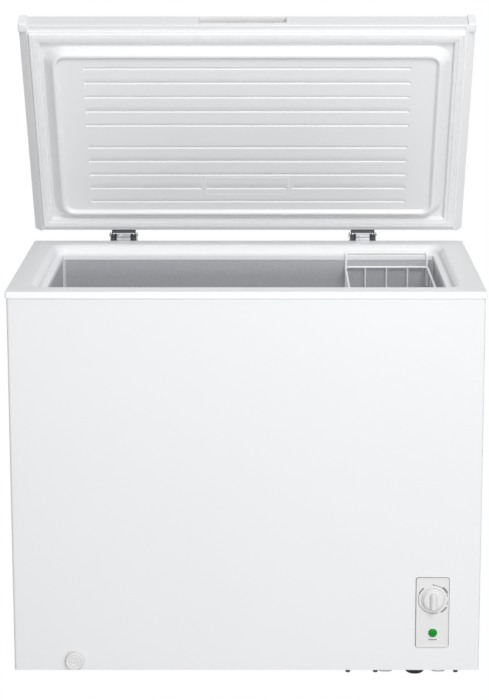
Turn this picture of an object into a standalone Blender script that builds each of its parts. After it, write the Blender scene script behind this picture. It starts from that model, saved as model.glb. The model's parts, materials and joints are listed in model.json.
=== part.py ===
"""Chest freezer: cabinet, hinged lid, cooling unit, controls, drain and sliding basket.

Units are metres, +Z is up, +X is to the right of a person who faces the freezer and -Y points
towards that person. The origin is on the floor, under the middle of the freezer with its lid open.
Every point below is given in cabinet coordinates: the same axes, measured from the cabinet's own
middle, with the lid closed. One empty moves the cabinet to its place, another opens the lid.
"""
import math

import bmesh
import bpy
import numpy as np
from mathutils import Vector

# Driving dimensions
FRAME_W, FRAME_D = 0.945, 0.523      # outside of the plastic frame round the top
FLANGE_Z = 0.800                     # height of the frame's flat top
BODY_W, BODY_D = 0.940, 0.518        # outside of the steel cabinet
BODY_Z0 = 0.016                      # cabinet's bottom edge
BODY_Z1 = 0.787                      # where the frame's lip covers the cabinet
SHEET = 0.001                        # steel sheet
GAP = 0.0005                         # clearance between neighbouring pieces
LID_BACK, LID_FRONT = 0.2615, -0.2655
LID_TOP, LID_RIM = 0.850, 0.812      # closed lid: top face and underside of its rim
RAIL_TOP = 0.8458                    # where the lid's front rail meets its top sheet
LID_SHEET = 0.0008
LID_OPEN = 64.0                      # opening angle at rest, in degrees
HINGE_Y, HINGE_Z = 0.2735, 0.810     # hinge axis
HINGE_X = (-0.276, 0.253)
CABINET_Y = -0.0115                  # puts the origin under the middle of the whole freezer

LINER_INSET = 0.0685                 # frame edge to the liner's inner face
LINER_X, LINER_Y = FRAME_W / 2 - LINER_INSET, FRAME_D / 2 - LINER_INSET
LINER_TOP, LINER_FLOOR = 0.776, 0.085
STEP_X, STEP_Z = 0.190, 0.345        # step in the liner over the cooling unit
CORNER_SEAM = 0.0001                 # gap where two sheets of the tub meet
COIL_GAP = 0.0095                    # room for the evaporator tube outside the liner
SKIN_GAP = 0.007                     # room for the condenser tube inside the cabinet's skin
BAY_X, BAY_Z = 0.245, 0.290          # the cooling unit's bay: from BAY_X to the right side
COMP_X, COMP_Y = 0.352, 0.065        # compressor's centre
KNOB_X, KNOB_Z = 0.375, 0.1675
BEZEL_X, BEZEL_Z0, BEZEL_Z1 = 0.374, 0.066, 0.212
LAMP_Z = 0.0967
DRAIN_X, DRAIN_Z = -0.3475, 0.038
FLOOR_DRAIN_Y = -0.150
BASKET_X0, BASKET_X1 = 0.209, 0.393
BASKET_Y, BASKET_Z0, BASKET_Z1 = 0.186, 0.560, 0.759
HANDLE_X, HANDLE_W, HANDLE_Z0, HANDLE_Z1 = -0.008, 0.183, 0.818, 0.845
CAM_CLOSED, CAM_SLOPE = 0.0095, 0.00358   # cam reach when closed, and its loss per radian
KNUCKLE = 0.0046                     # outside radius of a hinge cheek round its pin


def finish(name, colour, roughness, metallic=0.0):
    """A Principled material of one colour."""
    mat = bpy.data.materials.new(name)
    mat.use_nodes = True
    shader = mat.node_tree.nodes["Principled BSDF"]
    shader.inputs["Base Color"].default_value = (*colour, 1.0)
    shader.inputs["Roughness"].default_value = roughness
    shader.inputs["Metallic"].default_value = metallic
    return mat


# ---------------------------------------------------------------- meshes

def solid(loops, ring=False):
    """Bridges loops of equal length: a ring closes on itself, a stack gets two end caps."""
    bm = bmesh.new()
    rows = [[bm.verts.new(p) for p in loop] for loop in loops]
    pairs = list(zip(rows, rows[1:]))
    if ring:
        pairs.append((rows[-1], rows[0]))
    for low, high in pairs:
        for i in range(len(low)):
            j = (i + 1) % len(low)
            bm.faces.new((low[i], low[j], high[j], high[i]))
    if not ring:
        bm.faces.new(rows[0])
        bm.faces.new(rows[-1])
    return bm


def block(low, high):
    """Box between two corners."""
    (x0, y0, z0), (x1, y1, z1) = low, high
    return solid([[(x0, y0, z), (x1, y0, z), (x1, y1, z), (x0, y1, z)] for z in (z0, z1)])


def lift(point, axis, along):
    """Puts a 2D point into the plane across an axis: (y, z), (x, z) or (x, y)."""
    a, b = point
    return {"X": (along, a, b), "Y": (a, along, b), "Z": (a, b, along)}[axis]


def slab(outline, axis, low, high):
    """Outline across an axis, extruded between two places on it."""
    return solid([[lift(p, axis, t) for p in outline] for t in (low, high)])


def circle(radius, steps, centre=(0.0, 0.0), squash=1.0):
    turns = [2 * math.pi * i / steps for i in range(steps)]
    return [(centre[0] + radius * math.cos(t), centre[1] + squash * radius * math.sin(t)) for t in turns]


def turned(profile, axis, centre, steps=24, ring=False, squash=1.0):
    """Turns (radius, along) points round an axis; a ring profile is closed and has a bore."""
    return solid([[lift(p, axis, t) for p in circle(r, steps, centre, squash)] for r, t in profile], ring)


def rounded_rectangle(x0, x1, y0, y1, radius, steps=4):
    """Rectangle with a quarter circle at each corner, counterclockwise."""
    points = []
    corners = ((x1, y1, 0), (x0, y1, 90), (x0, y0, 180), (x1, y0, 270))
    for x, y, start in corners:
        cx = x - math.copysign(radius, x - (x0 + x1) / 2)
        cy = y - math.copysign(radius, y - (y0 + y1) / 2)
        for i in range(steps + 1):
            t = math.radians(start + 90 * i / steps)
            points.append((cx + radius * math.cos(t), cy + radius * math.sin(t)))
    return points


def rounded_path(points, radius, steps=3):
    """Open path with every inner corner eased by a parabola that starts one radius before it."""
    path = [Vector(points[0])]
    for before, corner, after in zip(points, points[1:], points[2:]):
        corner = Vector(corner)
        start = corner + (Vector(before) - corner).normalized() * radius
        end = corner + (Vector(after) - corner).normalized() * radius
        for i in range(steps + 1):
            t = i / steps
            path.append(start * (1 - t) ** 2 + corner * 2 * t * (1 - t) + end * t ** 2)
    path.append(Vector(points[-1]))
    return path


def sheet_outline(points, thickness, radius):
    """Outline of a bent sheet: a path with eased corners and its copy one thickness to the left."""
    path = [Vector(p[:2]) for p in rounded_path([(*p, 0.0) for p in points], radius)]
    inner = []
    for i, point in enumerate(path):
        before = (point - path[i - 1]).normalized() if i else (path[1] - point).normalized()
        after = (path[i + 1] - point).normalized() if i + 1 < len(path) else before
        normals = [Vector((-d.y, d.x)) for d in (before, after)]
        mitre = (normals[0] + normals[1]).normalized()
        inner.append(point + mitre * thickness / mitre.dot(normals[0]))
    return [tuple(p) for p in path] + [tuple(p) for p in reversed(inner)]


# ---------------------------------------------------------------- objects

def place(obj, origin, parent):
    """Hangs an object whose data is measured from `origin` on an empty, both in cabinet coordinates."""
    obj.parent = parent
    obj.location = Vector(origin) - Vector(parent["place"] if parent else (0, 0, 0))
    obj["place"] = tuple(origin)
    bpy.context.collection.objects.link(obj)
    return obj


def piece(name, bm, mat, parent, origin=(0.0, 0.0, 0.0)):
    """Turns a bmesh in cabinet coordinates into a named object."""
    bmesh.ops.recalc_face_normals(bm, faces=bm.faces)
    bmesh.ops.translate(bm, verts=bm.verts, vec=-Vector(origin))
    mesh = bpy.data.meshes.new(name)
    bm.to_mesh(mesh)
    bm.free()
    mesh.materials.append(mat)
    mesh.shade_smooth()
    mesh.set_sharp_from_angle(angle=math.radians(32))
    return place(bpy.data.objects.new(name, mesh), origin, parent)


def shape(obj, bm, operation="DIFFERENCE"):
    """Cuts a bmesh out of an object, or joins it on, with a Boolean and a hidden guide."""
    guide = piece(f"{obj.name}_guide{len(obj.modifiers)}", bm, obj.data.materials[0], obj, obj["place"])
    guide.location = (0, 0, 0)
    guide.hide_render = True
    guide.display_type = "WIRE"
    modifier = obj.modifiers.new(operation.lower(), "BOOLEAN")
    modifier.operation = operation
    modifier.solver = "EXACT"
    modifier.object = guide
    return obj


def joined(parts):
    """One bmesh that holds several separate ones."""
    bm = bmesh.new()
    for part in parts:
        mesh = bpy.data.meshes.new("part")
        bmesh.ops.recalc_face_normals(part, faces=part.faces)
        part.to_mesh(mesh)
        part.free()
        bm.from_mesh(mesh)
        bpy.data.meshes.remove(mesh)
    return bm


def pipe(name, points, radius, mat, parent, resolution=2, origin=(0.0, 0.0, 0.0)):
    """Round tube or wire along a path, with closed ends."""
    curve = bpy.data.curves.new(name, "CURVE")
    curve.dimensions = "3D"
    curve.bevel_depth = radius
    curve.bevel_resolution = resolution
    curve.use_fill_caps = True
    spline = curve.splines.new("POLY")
    spline.points.add(len(points) - 1)
    for target, point in zip(spline.points, points):
        target.co = (*(Vector(point) - Vector(origin)), 1.0)
    curve.materials.append(mat)
    return place(bpy.data.objects.new(name, curve), origin, parent)


def empty(name, position, parent=None):
    marker = bpy.data.objects.new(name, None)
    return place(marker, position, parent)


# ---------------------------------------------------------------- cabinet

def frame_loop(inset, drop, radius):
    """Rounded rectangle at an inset from the frame's edge and a height relative to its flat top."""
    x, y = FRAME_W / 2 - inset, FRAME_D / 2 - inset
    return [(px, py, FLANGE_Z + drop) for px, py in rounded_rectangle(-x, x, -y, y, radius)]


def tub_outline(grow, top):
    """Front view of the tub's inside with its step, grown by an amount on the sides and below."""
    x, z = LINER_X + grow, LINER_FLOOR - grow
    step_x, step_z = STEP_X + grow, STEP_Z - grow
    return [(-x, z), (step_x, z), (step_x, step_z), (x, step_z), (x, top), (-x, top)]


def make_top_frame(m, cab):
    lip = FLANGE_Z - BODY_Z1
    outside = [(0, -lip, 4), (0, -0.0015, 4), (0.0005, -0.0004, 4), (0.0015, 0, 4), (0.042, 0, 28),
               (0.047, -0.0007, 27), (0.051, -0.0027, 26), (0.054, -0.0062, 25), (0.056, -0.011, 24),
               (0.0572, -0.0168, 23), (0.0585, -0.0178, 22), (0.0680, -0.0182, 7), (0.0700, -0.0196, 5),
               (0.0700, -0.0290, 5)]
    inside = [(0.0688, -0.0290, 5), (0.0688, -0.0202, 5), (0.0675, -0.0198, 7), (0.0568, -0.0194, 22),
              (0.0552, -0.0180, 23), (0.0540, -0.0125, 24), (0.0520, -0.0080, 25), (0.0493, -0.0046, 26),
              (0.0460, -0.0026, 27), (0.042, -0.0020, 28), (0.0025, -0.0020, 3), (0.0020, -0.0025, 3),
              (0.0020, -lip, 3)]
    loops = [frame_loop(inset, drop, radius / 1000) for inset, drop, radius in outside + inside]
    piece("top_frame", solid(loops, ring=True), m["frame_plastic"], cab)


def make_shell(m, cab):
    x, y = BODY_W / 2, BODY_D / 2
    top = FLANGE_Z - 0.003
    fold = 0.012
    back = y - 0.0017
    path = [(x - fold, back), (x, back), (x, -y), (-x, -y), (-x, back), (-x + fold, back)]
    outline = sheet_outline(path[::-1], SHEET, 0.004)
    wrapper = piece("outer_wrapper", slab(outline, "Z", BODY_Z0, top), m["painted_steel"], cab)
    openings = [
        block((BEZEL_X - 0.028, -y - 0.01, BEZEL_Z0 + 0.006), (BEZEL_X + 0.028, -y + 0.01, BEZEL_Z1 - 0.006)),
        turned([(0.0125, -y - 0.01), (0.0125, -y + 0.01)], "Y", (DRAIN_X, DRAIN_Z)),
        block((x - 0.01, COMP_Y - 0.1005, 0.0595), (x + 0.01, COMP_Y + 0.1005, 0.2005))]
    shape(wrapper, joined(openings))
    rear = block((-x + 0.0020, y - 0.0012, BODY_Z0 + 0.004), (x - 0.0020, y - 0.0002, top))
    back = piece("back_panel", rear, m["galvanised_steel"], cab)
    shape(back, block((0.262, y - 0.01, 0.030), (0.452, y + 0.01, 0.260)))
    base = piece("base_panel", block((-x + 0.0030, -y + 0.0030, 0.0165), (x - 0.0030, y - 0.0032, 0.0175)),
                 m["galvanised_steel"], cab)
    shape(base, block((0.262, COMP_Y - 0.100, 0.0), (0.452, COMP_Y + 0.100, 0.03)))


def make_liner(m, cab):
    """Tub of five sheets that butt at the corners: four walls and a stepped floor with a drain hole."""
    metal = m["embossed_aluminium"]
    for row, sign in (("front", -1), ("rear", 1)):
        near, far = sorted((sign * (LINER_Y + CORNER_SEAM), sign * (LINER_Y + SHEET)))
        piece(f"liner_{row}_wall", slab(tub_outline(SHEET, LINER_TOP), "Y", near, far), metal, cab)
    for side, sign, floor_z in (("left", -1, LINER_FLOOR), ("right", 1, STEP_Z)):
        near, far = sorted((sign * LINER_X, sign * (LINER_X + SHEET)))
        wall = block((near, -LINER_Y, floor_z - SHEET), (far, LINER_Y, LINER_TOP))
        piece(f"liner_{side}_wall", wall, metal, cab)
    edge = LINER_X - CORNER_SEAM
    path = [(-edge, LINER_FLOOR), (STEP_X, LINER_FLOOR), (STEP_X, STEP_Z), (edge, STEP_Z)]
    sheet = slab(sheet_outline(path, -SHEET, 0.0020), "Y", -LINER_Y, LINER_Y)
    floor = piece("liner_floor", sheet, metal, cab)
    hole = turned([(0.0065, LINER_FLOOR - 0.01), (0.0065, LINER_FLOOR + 0.01)], "Z", (DRAIN_X, FLOOR_DRAIN_Y))
    shape(floor, hole)


def make_foam(m, cab):
    x, y = BODY_W / 2 - SHEET - SKIN_GAP, BODY_D / 2 - SHEET - SKIN_GAP
    outline = rounded_rectangle(-x, x, -y, BODY_D / 2 - 0.0035, 0.026, 3)
    foam = piece("insulation_foam", slab(outline, "Z", 0.018, 0.7785), m["foam"], cab)
    hollow = tub_outline(SHEET + COIL_GAP - 0.0005, 0.85)
    lower = SHEET + GAP
    hollow = [(px, max(pz, LINER_FLOOR - lower) if pz < 0.2 else pz) for px, pz in hollow]
    hollow = [(px, STEP_Z - lower if 0.2 < pz < 0.5 else pz) for px, pz in hollow]
    reach = LINER_Y + SHEET + COIL_GAP
    shape(foam, slab(hollow, "Y", -reach, reach))
    shape(foam, block((BAY_X - GAP, -0.3, 0.0), (0.6, 0.3, BAY_Z + GAP)))
    shape(foam, block((DRAIN_X - 0.0135, -0.3, 0.0), (DRAIN_X + 0.0135, FLOOR_DRAIN_Y + 0.016, LINER_FLOOR)))
    shape(foam, block((0.288, reach - 0.01, BAY_Z - 0.01), (0.312, reach + 0.034, 0.382)))
    wall = sheet_outline([(BAY_X, 0.0185), (BAY_X, BAY_Z), (BODY_W / 2 - 0.0085, BAY_Z)], -SHEET, 0.003)
    cover = piece("bay_wall", slab(wall, "Y", -0.2500, 0.2550), m["galvanised_steel"], cab)
    shape(cover, block((0.289, reach + 0.002, BAY_Z - 0.01), (0.311, reach + 0.032, BAY_Z + 0.01)))


def coil_turns(heights, gap):
    """Square helix round the liner: wide above the step, narrow below it."""
    points = []
    y = LINER_Y + gap
    left = -LINER_X - gap
    for high, low in zip(heights, heights[1:]):
        right = (LINER_X if low > STEP_Z else STEP_X) + gap
        corners = ((right, y), (left, y), (left, -y), (right, -y))
        for i, (cx, cy) in enumerate(corners):
            points.append((cx, cy, high + (low - high) * i / 4))
    return points


def make_coils(m, cab):
    gap = SHEET + 0.0047
    drop, top = 0.074, 0.735
    upper = [top - drop * i for i in range(6)]
    lower = [0.300 - 0.062 * i for i in range(4)]
    y = LINER_Y + gap
    wide = coil_turns(upper, gap) + [(LINER_X + gap, y, upper[-1]), (0.300, y, upper[-1])]
    start = [(0.300, y, top + 0.016)]
    pipe("evaporator_coil", rounded_path(start + wide, 0.007, 2), 0.0032, m["aluminium_tube"], cab, 1)
    ends = [(STEP_X + gap, LINER_Y + gap, lower[-1]), (STEP_X - 0.05, LINER_Y + gap, lower[-1])]
    narrow = coil_turns(lower, gap) + ends
    pipe("lower_evaporator_coil", rounded_path(narrow, 0.007, 2), 0.0032, m["aluminium_tube"], cab, 1)
    inset = 0.0046
    x, y, back = BODY_W / 2 - inset, BODY_D / 2 - inset, BODY_D / 2 - 0.030
    path = [(x, back, BAY_Z - 0.03)]
    for i in range(6):
        z = 0.335 + 0.080 * i
        run = [(x, back, z), (x, -y, z), (-x, -y, z), (-x, back, z)]
        path += run if i % 2 == 0 else run[::-1]
    pipe("condenser_coil", rounded_path(path, 0.020, 2), 0.0024, m["copper"], cab, 1)


def make_cooling_unit(m, cab):
    tray = sheet_outline([(0.249, 0.034), (0.249, 0.0180), (0.466, 0.0180), (0.466, 0.034)], 0.0015, 0.003)
    piece("compressor_tray", slab(tray, "Y", COMP_Y - 0.125, COMP_Y + 0.125), m["dark_steel"], cab)
    centre = (COMP_X, COMP_Y)
    dome = [(0.040, 0.0370), (0.062, 0.0430), (0.071, 0.055), (0.0735, 0.080), (0.0735, 0.118),
            (0.0765, 0.120), (0.0765, 0.124), (0.0735, 0.126), (0.072, 0.160), (0.064, 0.185),
            (0.046, 0.199), (0.020, 0.204)]
    shell = piece("compressor", turned(dome, "Z", centre, 28, squash=1.22), m["black_enamel"], cab)
    foot_x, foot_y, leg = 0.072, 0.075, 0.013
    plate_x, plate_y = foot_x + leg, foot_y + leg
    plate = block((COMP_X - plate_x, COMP_Y - plate_y, 0.0345), (COMP_X + plate_x, COMP_Y + plate_y, 0.0380))
    shape(shell, plate, "UNION")
    grommet = [(0.0105, 0.0200), (0.0105, 0.0245), (0.0080, 0.0262), (0.0080, 0.0284), (0.0105, 0.0300),
               (0.0105, 0.0360)]
    for x in (-foot_x, foot_x):
        for y in (-foot_y, foot_y):
            shape(shell, turned(grommet, "Z", (COMP_X + x, COMP_Y + y), 14), "UNION")
    front = COMP_Y - 0.096
    outline = rounded_rectangle(COMP_X - 0.030, COMP_X + 0.018, 0.082, 0.142, 0.006)
    relay = slab(outline, "Y", front - 0.032, front)
    piece("starter_relay_box", relay, m["black_plastic"], cab)
    drier = [(0.0022, 0.095), (0.0022, 0.112), (0.0085, 0.120), (0.0095, 0.126), (0.0095, 0.186),
             (0.0085, 0.192), (0.0022, 0.200), (0.0022, 0.215)]
    piece("filter_drier", turned(drier, "Z", (0.268, 0.200), 14), m["copper"], cab)
    reach = LINER_Y + SHEET + COIL_GAP
    suction = [(0.318, COMP_Y + 0.0895, 0.170), (0.318, COMP_Y + 0.100, 0.170), (0.300, reach + 0.018, 0.200),
               (0.300, reach + 0.018, 0.363), (0.300, reach - 0.0005, 0.363)]
    pipe("suction_tube", rounded_path(suction, 0.012), 0.0040, m["copper"], cab, 1)
    x, back = BODY_W / 2 - 0.0046, BODY_D / 2 - 0.030
    discharge = [(0.392, COMP_Y + 0.082, 0.165), (0.400, COMP_Y + 0.115, 0.165), (x, back, 0.195),
                 (x, back, BAY_Z - 0.0305)]
    pipe("discharge_tube", rounded_path(discharge, 0.014), 0.0030, m["copper"], cab, 1)


def slots(axis, across, z0, pitch, count, size, along):
    """Row of slot-shaped cutters, one above the other."""
    cutters = []
    for i in range(count):
        z = z0 + pitch * i
        outline = rounded_rectangle(across[0], across[1], z, z + size, size * 0.45, 2)
        cutters.append(slab(outline, axis, along[0], along[1]))
    return joined(cutters)


def make_vents(m, cab):
    x, y = BODY_W / 2, BODY_D / 2
    outline = rounded_rectangle(COMP_Y - 0.100, COMP_Y + 0.100, 0.060, 0.200, 0.004)
    side = slab(outline, "X", x - 0.0015, x + 0.0010)
    grille = piece("side_vent_grille", side, m["white_plastic"], cab)
    shape(grille, slots("X", (COMP_Y - 0.088, COMP_Y + 0.088), 0.070, 0.0155, 8, 0.008, (x - 0.01, x + 0.01)))
    rear = slab(rounded_rectangle(0.254, 0.460, 0.022, 0.270, 0.006), "Y", y + 0.0003, y + 0.0015)
    cover = piece("rear_bay_cover", rear, m["galvanised_steel"], cab)
    shape(cover, slots("Y", (0.320, 0.445), 0.050, 0.020, 10, 0.009, (y - 0.01, y + 0.01)))
    shape(cover, turned([(0.0045, y - 0.01), (0.0045, y + 0.01)], "Y", (0.287, 0.052), 16))
    gland = [(0.0090, y + 0.0018), (0.0090, y + 0.0050), (0.0065, y + 0.0070), (0.0055, y + 0.0200),
             (0.0040, y + 0.0200),
             (0.0040, y + 0.0018)]
    piece("cord_gland", turned(gland, "Y", (0.287, 0.052), 18, ring=True), m["black_plastic"], cab)


def make_controls(m, cab):
    face = -BODY_D / 2
    half = 0.033

    def bezel_loop(shrink, y, radius):
        flat = rounded_rectangle(BEZEL_X - half + shrink, BEZEL_X + half - shrink, BEZEL_Z0 + shrink,
                                 BEZEL_Z1 - shrink, radius)
        return [(px, y, pz) for px, pz in flat]

    rings = [bezel_loop(0.0, face - 0.0003, 0.004), bezel_loop(0.0, face - 0.0024, 0.004),
             bezel_loop(0.0012, face - 0.0034, 0.0032)]
    bezel = piece("control_bezel", solid(rings), m["white_plastic"], cab)
    knob, lamp = (KNOB_X, KNOB_Z), (KNOB_X, LAMP_Z)
    holes = [turned([(0.0045, face - 0.01), (0.0045, face + 0.01)], "Y", knob, 20),
             turned([(0.0093, face - 0.01), (0.0093, face + 0.01)], "Y", lamp, 28)]
    shape(bezel, joined(holes))
    body = block((KNOB_X - 0.018, face + 0.0050, KNOB_Z - 0.020),
                 (KNOB_X + 0.018, face + 0.0450, KNOB_Z + 0.020))
    thermostat = piece("thermostat_body", body, m["black_plastic"], cab)
    neck = turned([(0.0038, face + 0.0100), (0.0038, face - 0.0005)], "Y", knob, 16)
    shape(thermostat, neck, "UNION")
    shape(thermostat, turned([(0.0028, face + 0.0200), (0.0028, face - 0.0100)], "Y", knob, 16))
    axis = (KNOB_X, face, KNOB_Z)
    shaft = turned([(0.0025, face + 0.0150), (0.0025, face - 0.0135)], "Y", knob, 16)
    piece("thermostat_shaft", shaft, m["galvanised_steel"], cab, axis)
    dial = [(0.0235, face - 0.0040), (0.0235, face - 0.0066), (0.0226, face - 0.0080),
            (0.0212, face - 0.0092),
            (0.0200, face - 0.0150), (0.0192, face - 0.0160)]
    knob_piece = piece("thermostat_knob", turned(dial, "Y", knob, 40), m["white_plastic"], cab, axis)
    outline = rounded_rectangle(KNOB_X - 0.0045, KNOB_X + 0.0045, KNOB_Z - 0.0185, KNOB_Z + 0.0185, 0.003)
    grip = slab(outline, "Y", face - 0.0230, face - 0.0120)
    shape(knob_piece, grip, "UNION")
    shape(knob_piece, turned([(0.0029, face - 0.0030), (0.0029, face - 0.0142)], "Y", knob, 16))
    lens = [(0.0088, face + 0.0020), (0.0088, face - 0.0036), (0.0080, face - 0.0050),
            (0.0060, face - 0.0062),
            (0.0030, face - 0.0068)]
    piece("power_lamp_lens", turned(lens, "Y", lamp, 28), m["green_lens"], cab)
    holder = block((KNOB_X - 0.009, face + 0.0050, LAMP_Z - 0.009),
                   (KNOB_X + 0.009, face + 0.0250, LAMP_Z + 0.009))
    piece("power_lamp_holder", holder, m["black_plastic"], cab)


def make_feet(m, cab):
    spots = {"front_left": (-0.405, -0.190), "rear_left": (-0.405, 0.205),
             "front_right": (0.342, -0.2235), "rear_right": (0.342, 0.222)}
    for name, (x, y) in spots.items():
        profile = [(0.0165, 0.0), (0.0185, 0.0015), (0.0205, 0.0120), (0.0190, 0.0135), (0.0090, 0.0140),
                   (0.0090, 0.0160)]
        piece(f"foot_{name}", turned(profile, "Z", (x, y), 24), m["rubber"], cab)


def make_drain(m, cab):
    face = -BODY_D / 2
    centre = (DRAIN_X, DRAIN_Z)
    y0, y1 = face + 0.0100, FLOOR_DRAIN_Y + 0.014
    duct = piece("drain_duct", turned([(0.0125, y0), (0.0125, y1)], "Y", centre), m["white_plastic"], cab)
    riser = [(0.0100, DRAIN_Z), (0.0100, LINER_FLOOR - SHEET - 0.0006)]
    shape(duct, turned(riser, "Z", (DRAIN_X, FLOOR_DRAIN_Y)), "UNION")
    shape(duct, turned([(0.0108, y0 - 0.01), (0.0108, y1 - 0.002)], "Y", centre))
    shape(duct, turned([(0.0075, DRAIN_Z), (0.0075, 0.2)], "Z", (DRAIN_X, FLOOR_DRAIN_Y)))
    spout = [(0.0193, face - 0.0004), (0.0193, face - 0.0040), (0.0183, face - 0.0050),
             (0.0070, face - 0.0050), (0.0070, face + 0.0560), (0.0100, face + 0.0560),
             (0.0100, face - 0.0004)]
    origin = (DRAIN_X, face, DRAIN_Z)
    piece("drain_spout", turned(spout, "Y", centre, 28, ring=True), m["white_plastic"], cab, origin)
    cap = [(0.0062, face + 0.0060), (0.0062, face - 0.0055), (0.0175, face - 0.0055), (0.0178, face - 0.0100),
           (0.0165, face - 0.0116), (0.0125, face - 0.0116), (0.0115, face - 0.0104), (0.0060, face - 0.0104)]
    piece("drain_cap", turned(cap, "Y", centre, 28), m["white_plastic"], cab, origin)
    plug = [(0.0050, LINER_FLOOR - 0.0100), (0.0058, LINER_FLOOR + 0.0004), (0.0130, LINER_FLOOR + 0.0004),
            (0.0130, LINER_FLOOR + 0.0030), (0.0050, LINER_FLOOR + 0.0045), (0.0050, LINER_FLOOR + 0.0130),
            (0.0035, LINER_FLOOR + 0.0145)]
    piece("inner_drain_plug", turned(plug, "Z", (DRAIN_X, FLOOR_DRAIN_Y), 20), m["rubber"], cab,
          (DRAIN_X, FLOOR_DRAIN_Y, LINER_FLOOR))


def windows(start, end, wire, count):
    """Equal gaps between wires, with a wire at each end."""
    pitch = (end - start - wire) / count
    return [(start + wire + pitch * i, start + pitch * (i + 1)) for i in range(count)]


def make_basket(m, cab):
    """Five welded panels of flat bars; the two ends carry the wires that hang on the frame's ledge."""
    x0, x1, y, z0, z1 = BASKET_X0, BASKET_X1, BASKET_Y, BASKET_Z0, BASKET_Z1
    wall, wire, coat, origin = 0.0035, 0.0035, m["wire_coating"], (BASKET_X0, 0, BASKET_Z1)
    across, along, up = windows(x0, x1, wire, 4), windows(-y, y, wire, 8), windows(z0, z1, wire, 2)
    floor = piece("basket_floor", block((x0, -y, z0), (x1, y, z0 + wall)), coat, cab, origin)
    shape(floor, joined([block((a, c, z0 - 0.01), (b, d, z0 + 0.02)) for a, b in across for c, d in along]))
    rise = z0 + wall + GAP
    for side, low in (("left", x0), ("right", x1 - wall)):
        panel = piece(f"basket_{side}_side", block((low, -y, rise), (low + wall, y, z1)), coat, cab, origin)
        shape(panel, joined([block((low - 0.01, a, max(c, rise + wire)), (low + 0.02, b, d))
                             for a, b in along for c, d in up]))
    inner, outer = (x0 + wall + GAP, x1 - wall - GAP), 0.0125
    ledge, bar = FLANGE_Z - 0.0176, 0.0042
    for end, sign in (("front", -1), ("rear", 1)):
        near, far = sorted((sign * (y - wall), sign * y))
        plate = block((inner[0], near, rise), (inner[1], far, z1))
        panel = piece(f"basket_{end}_end", plate, coat, cab, origin)
        shape(panel, joined([block((a, near - 0.01, max(c, rise + wire)), (b, far + 0.01, d))
                             for a, b in across for c, d in up]))
        for x in (x0 + 0.010, x1 - 0.010 - bar):
            post = sorted((sign * (y - 0.001), sign * (y + 0.0045)))
            shape(panel, block((x, post[0], z1 - 0.030), (x + bar, post[1], ledge + bar)), "UNION")
            arm = sorted((sign * (y + 0.0040), sign * (y + outer)))
            shape(panel, block((x, arm[0], ledge), (x + bar, arm[1], ledge + bar)), "UNION")
        rail = sorted((sign * (y + outer - bar), sign * (y + outer)))
        shape(panel, block((x0 + 0.010, rail[0], ledge), (x1 - 0.010, rail[1], ledge + bar)), "UNION")


# ---------------------------------------------------------------- hinges

def cam_outline():
    """Side view of a hinge cheek. Its foot is a cam whose reach falls evenly with the opening angle."""
    points = []
    for i in range(11):
        t = math.radians(-4 + 88 * i / 10)
        reach = CAM_CLOSED - CAM_SLOPE * t
        sine, cosine = math.sin(t), math.cos(t)
        points.append((reach * sine - CAM_SLOPE * cosine, -reach * cosine - CAM_SLOPE * sine))
    for angle in (-15, 15, 45, 75):
        t = math.radians(angle)
        points.append((KNUCKLE * math.cos(t), KNUCKLE * math.sin(t)))
    points += [(-0.0092, 0.0260), (-0.0106, 0.0260), (-0.0106, 0.0030)]
    return [(HINGE_Y + a, HINGE_Z + b) for a, b in points]


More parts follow.
